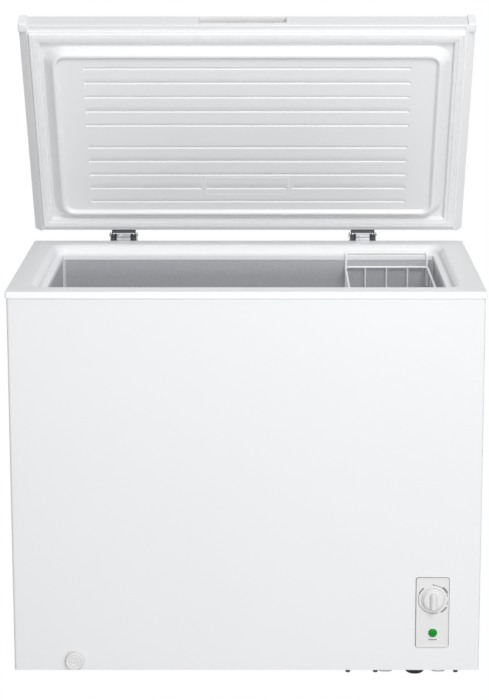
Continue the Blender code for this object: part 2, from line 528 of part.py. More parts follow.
def make_hinge(m, cab, lid, side, x):
    axis = (HINGE_Y, HINGE_Z)
    ear, leaf, back = 0.030, 0.026, FRAME_D / 2 + 0.0005
    foot_z = 0.690
    path = [(x - ear, 0.2860), (x - ear, back), (x + ear, back), (x + ear, 0.2860)]
    channel = sheet_outline(path, 0.0015, 0.0025)
    bracket = piece(f"hinge_bracket_{side}", slab(channel, "Z", foot_z, 0.7995), m["zinc_steel"], cab)
    for low, high in ((x - ear, x - ear + 0.0015), (x + ear - 0.0015, x + ear)):
        cheek = [(0.2650, 0.7900), (0.2858, 0.7900), (0.2820, 0.8120), (0.2780, 0.8160), (0.2700, 0.8160),
                 (0.2660, 0.8120)]
        shape(bracket, slab(cheek, "X", low, high), "UNION")
    seat = block((x - ear + 0.0007, back + 0.0005, foot_z), (x + ear - 0.0007, 0.2855, foot_z + 0.0015))
    spacer = block((x - ear + 0.004, BODY_D / 2 + 0.0003, 0.700), (x + ear - 0.004, back + 0.0007, 0.780))
    shape(bracket, seat, "UNION")
    shape(bracket, spacer, "UNION")
    shape(bracket, turned([(0.0028, x - 0.04), (0.0028, x + 0.04)], "X", axis, 16))
    pin = [(0.0042, x - ear - 0.0018), (0.0042, x - ear - 0.0004), (0.0024, x - ear - 0.0004),
           (0.0024, x + ear + 0.0018)]
    piece(f"hinge_pin_{side}", turned(pin, "X", axis, 16), m["zinc_steel"], cab)

    plate = block((x - leaf, HINGE_Y - 0.0117, 0.8145), (x + leaf, HINGE_Y - 0.0102, 0.8460))
    hinge_leaf = piece(f"hinge_leaf_{side}", plate, m["dark_steel"], lid, (0.0, HINGE_Y, HINGE_Z))
    for low in (x - leaf, x + leaf - 0.0020):
        shape(hinge_leaf, slab(cam_outline(), "X", low, low + 0.0020), "UNION")
    shape(hinge_leaf, turned([(0.0028, x - 0.04), (0.0028, x + 0.04)], "X", axis, 16))

    opened = math.radians(LID_OPEN)
    top = HINGE_Z - (CAM_CLOSED - CAM_SLOPE * opened) - 0.0004
    low = 0.765
    core = block((x - leaf - 0.0015, 0.2655, top - 0.008), (x + leaf + 0.0015, 0.2815, top))
    plunger = piece(f"hinge_plunger_{side}", core, m["nylon"], cab, (x, HINGE_Y, top))
    shape(plunger, block((x - 0.010, 0.2655, low), (x + 0.010, 0.2815, top - 0.004)), "UNION")
    shape(plunger, turned([(0.0040, low - 0.020), (0.0040, low + 0.004)], "Z", (x, HINGE_Y), 14), "UNION")
    wire, mean, turns = 0.0012, 0.0062, 5
    z0, z1 = foot_z + 0.0015 + wire + 0.0004, low - wire - 0.0004
    steps = np.linspace(0.0, 1.0, turns * 9 + 1)
    angle = 2 * math.pi * turns * steps
    rise = z0 + (z1 - z0) * steps
    path = [(x + mean * math.cos(a), HINGE_Y + mean * math.sin(a), z) for a, z in zip(angle, rise)]
    pipe(f"hinge_spring_{side}", path, wire, m["spring_steel"], cab, 1)


# ---------------------------------------------------------------- lid

def lid_loop(inset, z, radius, inset_y=None):
    """Rounded rectangle at an inset from the lid's edge."""
    deep = inset if inset_y is None else inset_y
    x = FRAME_W / 2 - inset
    return [(px, py, z) for px, py in rounded_rectangle(-x, x, LID_FRONT + deep, LID_BACK - deep, radius)]


def make_lid(m, lid):
    hinge = (0.0, HINGE_Y, HINGE_Z)
    half = FRAME_W / 2
    cap_width = 0.0155
    fold = 0.010
    reach = half - cap_width - 0.0003
    path = [(LID_FRONT, RAIL_TOP), (LID_FRONT, LID_TOP), (LID_BACK, LID_TOP), (LID_BACK, LID_RIM),
            (LID_BACK - fold, LID_RIM)]
    skin = slab(sheet_outline(path, -LID_SHEET, 0.0040), "X", -reach, reach)
    piece("lid_outer_panel", skin, m["painted_steel"], lid, hinge)
    path = [(LID_FRONT + fold, LID_RIM), (LID_FRONT, LID_RIM), (LID_FRONT, RAIL_TOP - CORNER_SEAM)]
    rail = slab(sheet_outline(path, -LID_SHEET, 0.0030), "X", -reach, reach)
    rail = piece("lid_front_rail", rail, m["painted_steel"], lid, hinge)
    grip = (HANDLE_X - HANDLE_W / 2, HANDLE_X + HANDLE_W / 2)
    notch = block((grip[0] - GAP, LID_FRONT - 0.01, HANDLE_Z0 - GAP),
                  (grip[1] + GAP, LID_FRONT + 0.003, LID_TOP))
    shape(rail, notch)
    front, deep = LID_FRONT - 0.0012, 0.019
    cup = block((grip[0], front, HANDLE_Z0), (grip[1], LID_FRONT + deep, HANDLE_Z1))
    pocket = piece("handle_pocket", cup, m["white_plastic"], lid, hinge)
    shape(pocket, block((grip[0] + 0.002, front - 0.01, HANDLE_Z0 + 0.002),
                        (grip[1] - 0.002, LID_FRONT + deep - 0.0015, HANDLE_Z1 - 0.002)))
    for side, sign in (("left", -1), ("right", 1)):
        section = [(half - cap_width, LID_TOP), (half - 0.0070, LID_TOP), (half - 0.0030, LID_TOP - 0.0010),
                   (half - 0.0008, LID_TOP - 0.0034), (half, LID_TOP - 0.0070), (half, LID_RIM + 0.0100),
                   (half - 0.0075, LID_RIM), (half - cap_width, LID_RIM)]
        middle = (half - cap_width / 2, (LID_TOP + LID_RIM) / 2)
        stations = ((LID_FRONT - 0.0030, 0.93), (LID_FRONT - 0.0018, 1.0), (LID_BACK + 0.0018, 1.0),
                    (LID_BACK + 0.0030, 0.93))
        loops = []
        for y, scale in stations:
            loops.append([(sign * (middle[0] + (px - middle[0]) * scale), y,
                           middle[1] + (pz - middle[1]) * scale) for px, pz in section])
        piece(f"lid_end_cap_{side}", solid(loops), m["cap_plastic"], lid, hinge)
    make_lid_liner(m, lid, hinge)
    foam = [lid_loop(0.0800, 0.8025, 0.012), lid_loop(0.0800, 0.8145, 0.012),
            lid_loop(0.0165, 0.8145, 0.004, 0.0020), lid_loop(0.0165, LID_TOP - 0.0012, 0.004, 0.0060)]
    core = piece("lid_foam", solid(foam), m["foam"], lid, hinge)
    recess = block((grip[0] - 0.002, LID_FRONT - 0.01, HANDLE_Z0 - 0.0015),
                   (grip[1] + 0.002, LID_FRONT + deep + 0.002, HANDLE_Z1 + 0.0015))
    shape(core, recess)
    x, front, back = half - 0.0210, LID_FRONT + 0.0160, LID_BACK - 0.0150

    def seal_loop(inset, z):
        radius = 0.012 if inset < 0.01 else 0.006
        flat = rounded_rectangle(-x + inset, x - inset, front + inset, back - inset, radius)
        return [(px, py, z) for px, py in flat]

    seal = [(0.0010, 0.8006), (0.0, 0.8022), (0.0, 0.8050), (0.0035, 0.8075), (0.0035, 0.8095),
            (0.0, 0.8110), (0.0005, 0.8115), (0.0215, 0.8115), (0.0235, 0.8085), (0.0225, 0.8040),
            (0.0180, 0.8010)]
    piece("lid_gasket", solid([seal_loop(i, z) for i, z in seal], ring=True), m["gasket_vinyl"], lid, hinge)


def make_lid_liner(m, lid, hinge):
    """Vacuum-formed inner panel: a raised ridge all round and a lowered middle with pressed grooves."""
    below = [(0.0780, 0.8000, 14), (0.0762, 0.7945, 15), (0.0730, 0.7922, 17), (0.0670, 0.7920, 21),
             (0.0630, 0.7936, 24),
             (0.0520, 0.8075, 30), (0.0485, 0.8114, 31), (0.0455, 0.8120, 31), (0.0162, 0.8120, 6)]
    above = [(0.0162, 0.8138, 6), (0.0470, 0.8138, 31), (0.0500, 0.8130, 31), (0.0535, 0.8090, 30),
             (0.0640, 0.7955, 24),
             (0.0675, 0.7940, 21), (0.0725, 0.7940, 17), (0.0745, 0.7958, 15), (0.0765, 0.8018, 14)]
    loops = [lid_loop(inset, z, radius / 1000) for inset, z, radius in below + above]
    liner = piece("lid_liner", solid(loops), m["liner_plastic"], lid, hinge)
    depth, width, reach = 0.0010, 0.0042, 0.3455
    start, pitch, middle_gap = LID_FRONT + 0.078 + 0.036, 0.0355, 0.057
    rows = [start + pitch * i + (middle_gap - pitch if i > 4 else 0.0) for i in range(10)]
    grooves = []
    for i, y in enumerate(rows):
        spans = ((-reach, reach),) if i != 8 else ((-reach, -0.105), (-0.085, 0.077), (0.096, reach))
        for low, high in spans:
            grooves.append(block((low, y - width / 2, 0.79), (high, y + width / 2, 0.8000 + depth)))
    shape(liner, joined(grooves))


def main():
    for obj in list(bpy.data.objects):
        bpy.data.objects.remove(obj)
    m = {
        "painted_steel": finish("painted_steel", (0.86, 0.87, 0.87), 0.35),
        "galvanised_steel": finish("galvanised_steel", (0.62, 0.63, 0.64), 0.45, 1.0),
        "zinc_steel": finish("zinc_steel", (0.55, 0.56, 0.57), 0.35, 1.0),
        "dark_steel": finish("dark_steel", (0.10, 0.10, 0.11), 0.50, 0.6),
        "spring_steel": finish("spring_steel", (0.45, 0.45, 0.47), 0.30, 1.0),
        "embossed_aluminium": finish("embossed_aluminium", (0.60, 0.61, 0.62), 0.40, 1.0),
        "aluminium_tube": finish("aluminium_tube", (0.75, 0.76, 0.77), 0.35, 1.0),
        "copper": finish("copper", (0.72, 0.38, 0.24), 0.35, 1.0),
        "black_enamel": finish("black_enamel", (0.02, 0.02, 0.022), 0.35),
        "frame_plastic": finish("frame_plastic", (0.78, 0.79, 0.79), 0.40),
        "white_plastic": finish("white_plastic", (0.84, 0.85, 0.85), 0.40),
        "cap_plastic": finish("cap_plastic", (0.80, 0.81, 0.81), 0.40),
        "liner_plastic": finish("liner_plastic", (0.76, 0.77, 0.77), 0.35),
        "gasket_vinyl": finish("gasket_vinyl", (0.66, 0.67, 0.67), 0.60),
        "black_plastic": finish("black_plastic", (0.03, 0.03, 0.03), 0.50),
        "rubber": finish("rubber", (0.03, 0.03, 0.03), 0.80),
        "nylon": finish("nylon", (0.55, 0.55, 0.53), 0.50),
        "green_lens": finish("green_lens", (0.03, 0.45, 0.12), 0.25),
        "wire_coating": finish("wire_coating", (0.84, 0.84, 0.84), 0.40),
        "foam": finish("foam", (0.80, 0.72, 0.50), 0.90),
    }
    root = empty("cabinet_place", (0.0, 0.0, 0.0))
    root.location = (0.0, CABINET_Y, 0.0)
    lid = empty("lid_hinge_axis", (0.0, HINGE_Y, HINGE_Z), root)
    lid.rotation_euler = (math.radians(-LID_OPEN), 0.0, 0.0)
    for make in (make_top_frame, make_shell, make_liner, make_foam, make_coils, make_cooling_unit, make_vents,
                 make_controls, make_feet, make_drain, make_basket):
        make(m, root)
    for side, x in zip(("left", "right"), HINGE_X):
        make_hinge(m, root, lid, side, x)
    make_lid(m, lid)


if __name__ == "__main__":
    main()
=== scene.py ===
"""Finish of a chest freezer: smooth shells, pressed lid panel, seals, basket wires, dial and fittings.

Every piece is a surface worked out with numpy in the freezer's own frame: metres, +Z up, -Y towards the
person in front. Lid pieces are worked out with the lid closed, then turned about the hinge to rest.
"""
import json
import math

import bpy
import numpy as np
from bpy.props import FloatProperty, FloatVectorProperty, PointerProperty
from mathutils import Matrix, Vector


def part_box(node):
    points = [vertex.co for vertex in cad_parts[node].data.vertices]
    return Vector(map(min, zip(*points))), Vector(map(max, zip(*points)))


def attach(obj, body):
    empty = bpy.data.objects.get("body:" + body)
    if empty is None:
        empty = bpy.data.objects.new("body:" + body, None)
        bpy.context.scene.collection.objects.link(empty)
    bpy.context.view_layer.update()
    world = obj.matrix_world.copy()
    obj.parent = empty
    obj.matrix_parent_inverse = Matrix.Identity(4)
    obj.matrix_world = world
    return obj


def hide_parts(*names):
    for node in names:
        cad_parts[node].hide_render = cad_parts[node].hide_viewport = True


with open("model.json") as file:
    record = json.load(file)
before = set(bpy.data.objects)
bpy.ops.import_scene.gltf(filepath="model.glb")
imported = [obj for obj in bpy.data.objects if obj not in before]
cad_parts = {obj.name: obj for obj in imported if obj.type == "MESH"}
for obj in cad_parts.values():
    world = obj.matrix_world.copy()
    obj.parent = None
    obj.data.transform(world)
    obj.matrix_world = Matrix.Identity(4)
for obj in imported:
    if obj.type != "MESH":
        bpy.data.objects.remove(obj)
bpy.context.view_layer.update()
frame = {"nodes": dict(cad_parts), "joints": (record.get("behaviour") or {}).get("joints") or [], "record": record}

bl_info = {
    "name": "Chest Freezer Finish",
    "version": (1, 0, 0),
    "blender": (4, 5, 0),
    "location": "3D View > Sidebar > Freezer",
    "description": "Builds the finished surfaces, materials and stage of a chest freezer",
    "category": "Object",
}


# ------------------------------------------------------------------ places taken from the frame

def corners(node):
    """Lowest and highest corner of a node at rest."""
    low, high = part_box(node)
    return np.array(low), np.array(high)


JOINTS = {joint["name"]: joint for joint in frame["joints"]}
HINGE = np.array(JOINTS["lid_hinge"]["pos_m"], float)
OPENED = math.radians(-JOINTS["lid_hinge"]["range_deg"][0])


def swing(points, angle):
    """Turns points about the hinge axis: the lid's front rises by a positive angle."""
    points = np.array(points, float)
    y, z = points[..., 1] - HINGE[1], points[..., 2] - HINGE[2]
    points[..., 1] = HINGE[1] + y * math.cos(angle) + z * math.sin(angle)
    points[..., 2] = HINGE[2] - y * math.sin(angle) + z * math.cos(angle)
    return points


def closed_corners(node):
    """Lowest and highest corner that a lid node has when the lid is shut."""
    mesh = frame["nodes"][node].data
    points = np.empty(len(mesh.vertices) * 3, np.float32)
    mesh.vertices.foreach_get("co", points)
    points = swing(points.reshape(-1, 3), -OPENED)
    return points.min(0), points.max(0)


FRAME_LOW, FRAME_HIGH = corners("top_frame")
MID_Y = (FRAME_LOW[1] + FRAME_HIGH[1]) / 2
HALF_X, HALF_Y = FRAME_HIGH[0], (FRAME_HIGH[1] - FRAME_LOW[1]) / 2
FLANGE_Z = FRAME_HIGH[2]
BODY_LOW, BODY_HIGH = corners("outer_wrapper")
FACE = BODY_LOW[1]
TUB_LOW = np.minimum(corners("liner_left_wall")[0], corners("liner_front_wall")[0])
TUB_HIGH = np.maximum(corners("liner_right_wall")[1], corners("liner_rear_wall")[1])
STEP_FLOOR = corners("liner_right_wall")[0][2]
LID_LOW, LID_HIGH = closed_corners("lid_outer_panel")
LID_LOW = np.minimum(LID_LOW, closed_corners("lid_front_rail")[0])
CAP_LOW, CAP_HIGH = closed_corners("lid_end_cap_right")
SEAL_LOW, SEAL_HIGH = closed_corners("lid_gasket")
GRIP_LOW, GRIP_HIGH = closed_corners("handle_pocket")
KNOB = np.array(JOINTS["thermostat_turn"]["pos_m"], float)
DRAIN = np.array(JOINTS["drain_cap_turn"]["pos_m"], float)


# ------------------------------------------------------------------ shader nodes

class Value:
    """A number that varies over a surface: Python arithmetic on it adds Math nodes."""

    def __init__(self, finish, socket):
        self.finish, self.socket = finish, socket

    def math(self, operation, first, second=0.0):
        node = self.finish.node("ShaderNodeMath", {"operation": operation}, {0: first, 1: second})
        return Value(self.finish, node.outputs[0])

    def __add__(self, other):
        return self.math("ADD", self, other)

    def __radd__(self, other):
        return self.math("ADD", other, self)

    def __sub__(self, other):
        return self.math("SUBTRACT", self, other)

    def __rsub__(self, other):
        return self.math("SUBTRACT", other, self)

    def __mul__(self, other):
        return self.math("MULTIPLY", self, other)

    def __rmul__(self, other):
        return self.math("MULTIPLY", other, self)

    def step(self, low, high):
        """0 below low, 1 above high, smooth between."""
        node = self.finish.node("ShaderNodeMapRange", {"interpolation_type": "SMOOTHSTEP"},
                                {"Value": self, "From Min": low, "From Max": high})
        return Value(self.finish, node.outputs["Result"])


class Finish:
    """A material with a Principled shader, and short ways to add nodes in front of it."""

    def __init__(self, name, colour, roughness, metallic=0.0, **more):
        self.material = bpy.data.materials.new(name)
        self.material.use_nodes = True
        self.tree = self.material.node_tree
        self.shader = self.tree.nodes["Principled BSDF"]
        self.colour = (*colour, 1.0)
        values = {"Base Color": self.colour, "Roughness": roughness, "Metallic": metallic, **more}
        self.fill(self.shader, values)

    def fill(self, node, values):
        """Sets a node's sockets: a number or colour as it is, a socket or a Value as a link."""
        for key, value in values.items():
            target = node.inputs[key]
            if isinstance(value, Value):
                value = value.socket
            if isinstance(value, bpy.types.NodeSocket):
                self.tree.links.new(value, target)
            else:
                target.default_value = value

    def node(self, kind, settings=None, values=None):
        """Adds a node of a type: its settings first, then its sockets' values or links."""
        node = self.tree.nodes.new(kind)
        for key, value in (settings or {}).items():
            setattr(node, key, value)
        self.fill(node, values or {})
        return node

    def place(self, stretch=(1.0, 1.0, 1.0)):
        """Object coordinates, stretched."""
        source = self.node("ShaderNodeTexCoord").outputs["Object"]
        return self.node("ShaderNodeMapping", None, {"Vector": source, "Scale": stretch}).outputs[0]

    def noise(self, scale, detail=2.0, rough=0.5, place=None):
        values = {"Vector": place or self.place(), "Scale": scale, "Detail": detail, "Roughness": rough}
        return Value(self, self.node("ShaderNodeTexNoise", None, values).outputs[0])

    def cells(self, scale, feature="SMOOTH_F1", place=None, output="Distance"):
        values = {"Vector": place or self.place(), "Scale": scale}
        node = self.node("ShaderNodeTexVoronoi", {"feature": feature}, values)
        return Value(self, node.outputs[output])

    def tint(self, amount, light, dark):
        """Base colour that goes from a darker to a lighter version of the finish's colour."""
        a = tuple(c * dark for c in self.colour[:3]) + (1.0,)
        b = tuple(min(c * light, 1.0) for c in self.colour[:3]) + (1.0,)
        mix = self.node("ShaderNodeMix", {"data_type": "RGBA"}, {0: amount, 6: a, 7: b})
        self.fill(self.shader, {"Base Color": mix.outputs[2]})

    def bump(self, height, strength, distance):
        values = {"Height": height, "Strength": strength, "Distance": distance}
        node = self.node("ShaderNodeBump", None, values)
        self.fill(self.shader, {"Normal": node.outputs[0]})

    def rough(self, value):
        self.fill(self.shader, {"Roughness": value})


def enamel(name, colour):
    """Sprayed enamel on sheet: faint orange peel and soft, broad changes of gloss."""
    f = Finish(name, colour, 0.30, **{"Coat Weight": 0.25, "Coat Roughness": 0.12})
    f.tint(f.noise(3.0, 3.0), 1.012, 0.985)
    f.rough(0.26 + 0.10 * f.noise(9.0, 3.0))
    f.bump(f.noise(420.0, 1.0), 0.05, 0.0004)
    return f.material


def grained(name, colour, roughness=0.42, grain=1400.0, depth=0.16):
    """Moulded plastic with a fine spark-eroded grain."""
    f = Finish(name, colour, roughness)
    f.tint(f.noise(14.0, 3.0), 1.01, 0.985)
    f.rough(roughness - 0.04 + 0.09 * f.noise(40.0, 3.0))
    f.bump(f.noise(grain, 2.0, 0.6), depth, 0.0002)
    return f.material


def formed_sheet(name, colour):
    """Vacuum-formed sheet: smooth, a little wavy, with a faint draw texture."""
    f = Finish(name, colour, 0.34, **{"Coat Weight": 0.10, "Coat Roughness": 0.25})
    f.tint(f.noise(6.0, 2.0), 1.01, 0.99)
    f.rough(0.30 + 0.08 * f.noise(25.0, 3.0))
    f.bump(0.7 * f.noise(10.0, 2.0) + 0.02 * f.noise(600.0, 2.0), 0.10, 0.0015)
    return f.material


def stucco(name, colour, scale):
    """Stucco-embossed aluminium: fine irregular pebbles with thin veins between. The colour follows the relief, as
    painted highlight on the pebble tops and painted shade in the veins.
    """
    f = Finish(name, colour, 0.40, 0.45)
    place, sway = f.place(), (0.004, 0.004, 0.004)
    drift = f.node("ShaderNodeTexNoise", None, {"Vector": place, "Scale": scale * 0.5, "Detail": 1.0})
    values = {0: drift.outputs[1], 1: sway, 2: place}
    moved = f.node("ShaderNodeVectorMath", {"operation": "MULTIPLY_ADD"}, values)
    pebbles = f.cells(scale, place=moved.outputs[0])
    veins = f.noise(scale * 1.3, 3.0, 0.6)
    relief = (1.0 - pebbles) * 0.6 + veins * 0.6
    broad = f.noise(5.0, 3.0)
    # Painted highlight and shade: the colour is lighter where the relief is high and darker in the veins.
    f.tint(relief.step(0.35, 0.85) * 0.7 + broad * 0.3, 1.06, 0.88)
    f.rough(0.34 + 0.16 * veins)
    f.bump(relief, 0.45, 0.0006)
    return f.material


def plated(name, colour, roughness=0.34, metallic=0.9, spangle=70.0):
    """Zinc-coated or bright metal: faint crystals and a drawn direction."""
    f = Finish(name, colour, roughness, metallic)
    crystals = f.cells(spangle, "F1", output="Color")
    drawn = f.noise(260.0, 2.0, place=f.place((0.15, 1.0, 1.0)))
    f.tint(crystals * 0.55 + drawn * 0.45, 1.10, 0.82)
    f.rough(roughness - 0.06 + 0.16 * crystals)
    f.bump(drawn, 0.06, 0.0002)
    return f.material


def tube_metal(name, colour, roughness=0.30):
    """Drawn tube with darker, duller patches of tarnish."""
    f = Finish(name, colour, roughness, 0.95)
    tarnish = f.noise(22.0, 4.0, 0.6).step(0.42, 0.68)
    f.tint(1.0 - tarnish, 1.08, 0.62)
    f.rough(roughness + 0.22 * tarnish)
    f.bump(f.noise(500.0, 2.0), 0.08, 0.0002)
    return f.material


def rubbery(name, colour, roughness=0.62, grain=800.0):
    """Soft vinyl or rubber: matt, with a fine skin texture and dusty high spots."""
    f = Finish(name, colour, roughness, **{"Sheen Weight": 0.10, "Sheen Roughness": 0.5})
    f.tint(f.noise(60.0, 4.0, 0.6), 1.05, 0.94)
    f.rough(roughness - 0.06 + 0.12 * f.noise(45.0, 3.0))
    f.bump(f.noise(grain, 3.0, 0.6), 0.14, 0.0003)
    return f.material


def lamp_green(name, colour):
    """Moulded indicator lens with a fine inner prism texture."""
    f = Finish(name, colour, 0.16, **{"Specular IOR Level": 0.2, "Emission Strength": 0.10})
    prisms = f.cells(900.0, "F1")
    f.tint(prisms, 1.15, 0.85)
    f.fill(f.shader, {"Emission Color": (0.0, 0.35, 0.03, 1.0)})
    f.bump(prisms, 0.10, 0.0003)
    return f.material


def blown_foam(name, colour):
    """Rigid foam: a skin over small cells."""
    f = Finish(name, colour, 0.9)
    bubbles = f.cells(420.0)
    f.tint(bubbles, 1.1, 0.82)
    f.bump(bubbles, 0.5, 0.001)
    return f.material


RECIPES = {
    "painted_steel": lambda look: enamel("white_enamel", look.enamel_colour),
    "frame_plastic": lambda look: grained("frame_moulding", look.frame_colour),
    "white_plastic": lambda look: grained("white_moulding", look.plastic_colour),
    "cap_plastic": lambda look: grained("end_cap_moulding", look.cap_colour),
    "liner_plastic": lambda look: formed_sheet("lid_panel_sheet", look.lid_panel_colour),
    "gasket_vinyl": lambda look: rubbery("seal_vinyl", look.seal_colour, 0.58),
    "embossed_aluminium": lambda look: stucco("stucco_aluminium", look.tub_colour, look.stucco_scale),
    "galvanised_steel": lambda look: plated("galvanised_sheet", (0.60, 0.61, 0.62), 0.40),
    "zinc_steel": lambda look: plated("zinc_plate", (0.62, 0.63, 0.65), 0.30, 0.9, 160.0),
    "dark_steel": lambda look: plated("dark_coated_steel", (0.085, 0.09, 0.10), 0.42, 0.5, 160.0),
    "spring_steel": lambda look: tube_metal("spring_wire", (0.42, 0.42, 0.44), 0.26),
    "aluminium_tube": lambda look: tube_metal("aluminium_tube_skin", (0.74, 0.75, 0.76)),
    "copper": lambda look: tube_metal("copper_tube_skin", (0.74, 0.37, 0.22)),
    "black_enamel": lambda look: enamel("compressor_enamel", (0.018, 0.018, 0.020)),
    "black_plastic": lambda look: grained("black_moulding", (0.028, 0.028, 0.030), 0.48),
    "rubber": lambda look: rubbery("black_rubber", (0.022, 0.022, 0.024), 0.74),
    "nylon": lambda look: grained("grey_nylon", (0.50, 0.50, 0.49), 0.46),
    "green_lens": lambda look: lamp_green("green_lamp_lens", look.lamp_colour),
    "wire_coating": lambda look: grained("wire_coating_skin", (0.95, 0.95, 0.95), 0.34, 500.0, 0.05),
    "foam": lambda look: blown_foam("rigid_foam", (0.80, 0.72, 0.50)),
}
MADE = {}


def finish_of(slot):
    """The material of a slot, made once."""
    if slot not in MADE:
        MADE[slot] = RECIPES[slot](bpy.context.scene.freezer_look)
    return MADE[slot]


# ------------------------------------------------------------------ surfaces

def joined(*parts):
    """Points whose coordinates are the given arrays or numbers, spread to one shape."""
    return np.stack(np.broadcast_arrays(*parts), -1)


def grid_faces(rows, columns, wrap_rows=False, wrap_columns=True):
    """Quads between neighbouring points of a grid that is numbered row by row."""
    r = np.arange(rows if wrap_rows else rows - 1)[:, None]
    c = np.arange(columns if wrap_columns else columns - 1)[None, :]
    r1, c1 = (r + 1) % rows, (c + 1) % columns
    quads = [r * columns + c, r * columns + c1, r1 * columns + c1, r1 * columns + c]
    return np.stack(np.broadcast_arrays(*quads), -1).reshape(-1, 4)


def loft(loops, ring=False):
    """Closed skin over a stack of loops (rows of points): a ring meets itself, a stack has flat ends."""
    loops = np.asarray(loops, float)
    rows, columns = loops.shape[:2]
    faces = grid_faces(rows, columns, ring).tolist()
    if not ring:
        faces += [list(range(columns)), list(range((rows - 1) * columns, rows * columns))[::-1]]
    points = loops.reshape(-1, 3)
    return points, outward(points, faces)


def outward(points, faces):
    """Turns every face round if the enclosed volume, summed over fans of triangles, is negative."""
    volume = 0.0
    by_size = {}
    for face in faces:
        by_size.setdefault(len(face), []).append(face)
    for group in by_size.values():
        group = np.array(group)
        for k in range(1, group.shape[1] - 1):
            a, b, c = (points[group[:, i]] for i in (0, k, k + 1))
            volume += np.einsum("ij,ij->i", a, np.cross(b, c)).sum()
    return faces if volume > 0 else [face[::-1] for face in faces]


def walled(points, quads, thickness):
    """Closed sheet from an open grid: a copy of the surface is moved back along the mean of its faces'
    normals, and a strip of quads closes every edge that belongs to one face only."""
    corner = points[quads]
    normal = np.cross(corner[:, 2] - corner[:, 0], corner[:, 3] - corner[:, 1])
    normal /= np.linalg.norm(normal, axis=1, keepdims=True)
    mean = np.zeros_like(points)
    for k in range(4):
        np.add.at(mean, quads[:, k], normal)
    mean /= np.maximum(np.linalg.norm(mean, axis=1, keepdims=True), 1e-9)
    count = len(points)
    start, end = quads.ravel(), np.roll(quads, -1, axis=1).ravel()
    lone = ~np.isin(start * count + end, end * count + start)
    rim = np.stack([end[lone], start[lone], start[lone] + count, end[lone] + count], -1)
    both = np.concatenate([points, points - mean * thickness])
    faces = np.concatenate([quads, quads[:, ::-1] + count, rim])
    used, faces = np.unique(faces, return_inverse=True)
    return both[used], outward(both[used], faces.reshape(-1, 4).tolist())


def merged(patches):
    """Several closed skins as one list of points and faces."""
    points, faces, offset = [], [], 0
    for some_points, some_faces in patches:
        points.append(np.asarray(some_points))
        faces += [[i + offset for i in face] for face in some_faces]
        offset += len(some_points)
    return np.concatenate(points), faces


def piece(name, patches, body, slot, replaces=(), sharp=32.0, lid=False):
    """Makes an object of closed skins, gives it its finish and lets it ride on a body."""
    points, faces = merged(patches)
    if lid:
        points = swing(points, OPENED)
    mesh = bpy.data.meshes.new(name)
    mesh.from_pydata(points.tolist(), [], faces)
    mesh.shade_smooth()
    mesh.set_sharp_from_angle(angle=math.radians(sharp))
    mesh.materials.append(finish_of(slot))
    obj = bpy.data.objects.new(name, mesh)
    bpy.context.scene.collection.objects.link(obj)
    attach(obj, body)
    if replaces:
        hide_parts(*replaces)


def eased(points, radii, steps=6, closed=False):
    """Path in a plane whose corners are circular arcs. Each arc touches both sides of its corner, so its
    centre lies on the corner's bisector at radius / sin(half the angle between the sides)."""
    points = np.asarray(points, float)
    radii = np.broadcast_to(radii, len(points))
    path = []
    for i, (corner, radius) in enumerate(zip(points, radii)):
        ends = not closed and i in (0, len(points) - 1)
        if ends or radius <= 0:
            path.append(corner[None])
            continue
        back = points[i - 1] - corner
        on = points[(i + 1) % len(points)] - corner
        shares = [0.499 if radii[j % len(points)] > 0 else 0.98 for j in (i - 1, i + 1)]
        room = min(np.linalg.norm(back) * shares[0], np.linalg.norm(on) * shares[1])
        back, on = back / np.linalg.norm(back), on / np.linalg.norm(on)
        half = math.acos(max(-1.0, min(1.0, float(back @ on)))) / 2
        if half > math.pi / 2 - 0.01:
            path.append(corner[None])
            continue
        reach = min(radius / math.tan(half), room)
        radius = reach * math.tan(half)
        bisector = (back + on) / np.linalg.norm(back + on)
        centre = corner + bisector * radius / math.sin(half)
        start, end = corner + back * reach - centre, corner + on * reach - centre
        turn = math.atan2(start[0] * end[1] - start[1] * end[0], float(start @ end))
        t = np.linspace(0.0, turn, steps + 1)
        x = start[0] * np.cos(t) - start[1] * np.sin(t)
        y = start[0] * np.sin(t) + start[1] * np.cos(t)
        path.append(centre + np.stack([x, y], -1))
    return np.concatenate(path)


def rounded_loops(x0, x1, y0, y1, radius, steps=8):
    """Rounded rectangles, one per entry of the arrays: a quarter circle about each inner corner."""
    x0, x1, y0, y1, radius = np.broadcast_arrays(*(np.asarray(v, float) for v in (x0, x1, y0, y1, radius)))
    quarter = np.linspace(0.0, math.pi / 2, steps + 1)
    sides = []
    for k, (x, y) in enumerate(((x1, y1), (x0, y1), (x0, y0), (x1, y0))):
        sx, sy = (1, -1, -1, 1)[k], (1, 1, -1, -1)[k]
        t = quarter + k * math.pi / 2
        px = (x - sx * radius)[..., None] + radius[..., None] * np.cos(t)
        py = (y - sy * radius)[..., None] + radius[..., None] * np.sin(t)
        sides.append(np.stack([px, py], -1))
    return np.concatenate(sides, axis=-2)


def stand(loops, heights, axis="Z"):
    """Gives flat loops their third coordinate: (x, y) at a z, (x, z) at a y, or (y, z) at an x."""
    first, second, third = loops[..., 0], loops[..., 1], np.asarray(heights, float)[:, None]
    orders = {"Z": (first, second, third), "Y": (first, third, second), "X": (third, first, second)}
    return joined(*orders[axis])


def turned(profile, centre, axis="Y", steps=48, ring=False, wobble=None):
    """Turns (radius, along) points round an axis through a centre in the plane across it."""
    profile = np.asarray(profile, float)
    t = np.linspace(0.0, 2 * math.pi, steps, endpoint=False)
    radius = profile[:, :1] * (1.0 if wobble is None else 1.0 + wobble(t)[None, :])
    flat = np.stack([centre[0] + radius * np.cos(t), centre[1] + radius * np.sin(t)], -1)
    return loft(stand(flat, profile[:, 1], axis), ring)


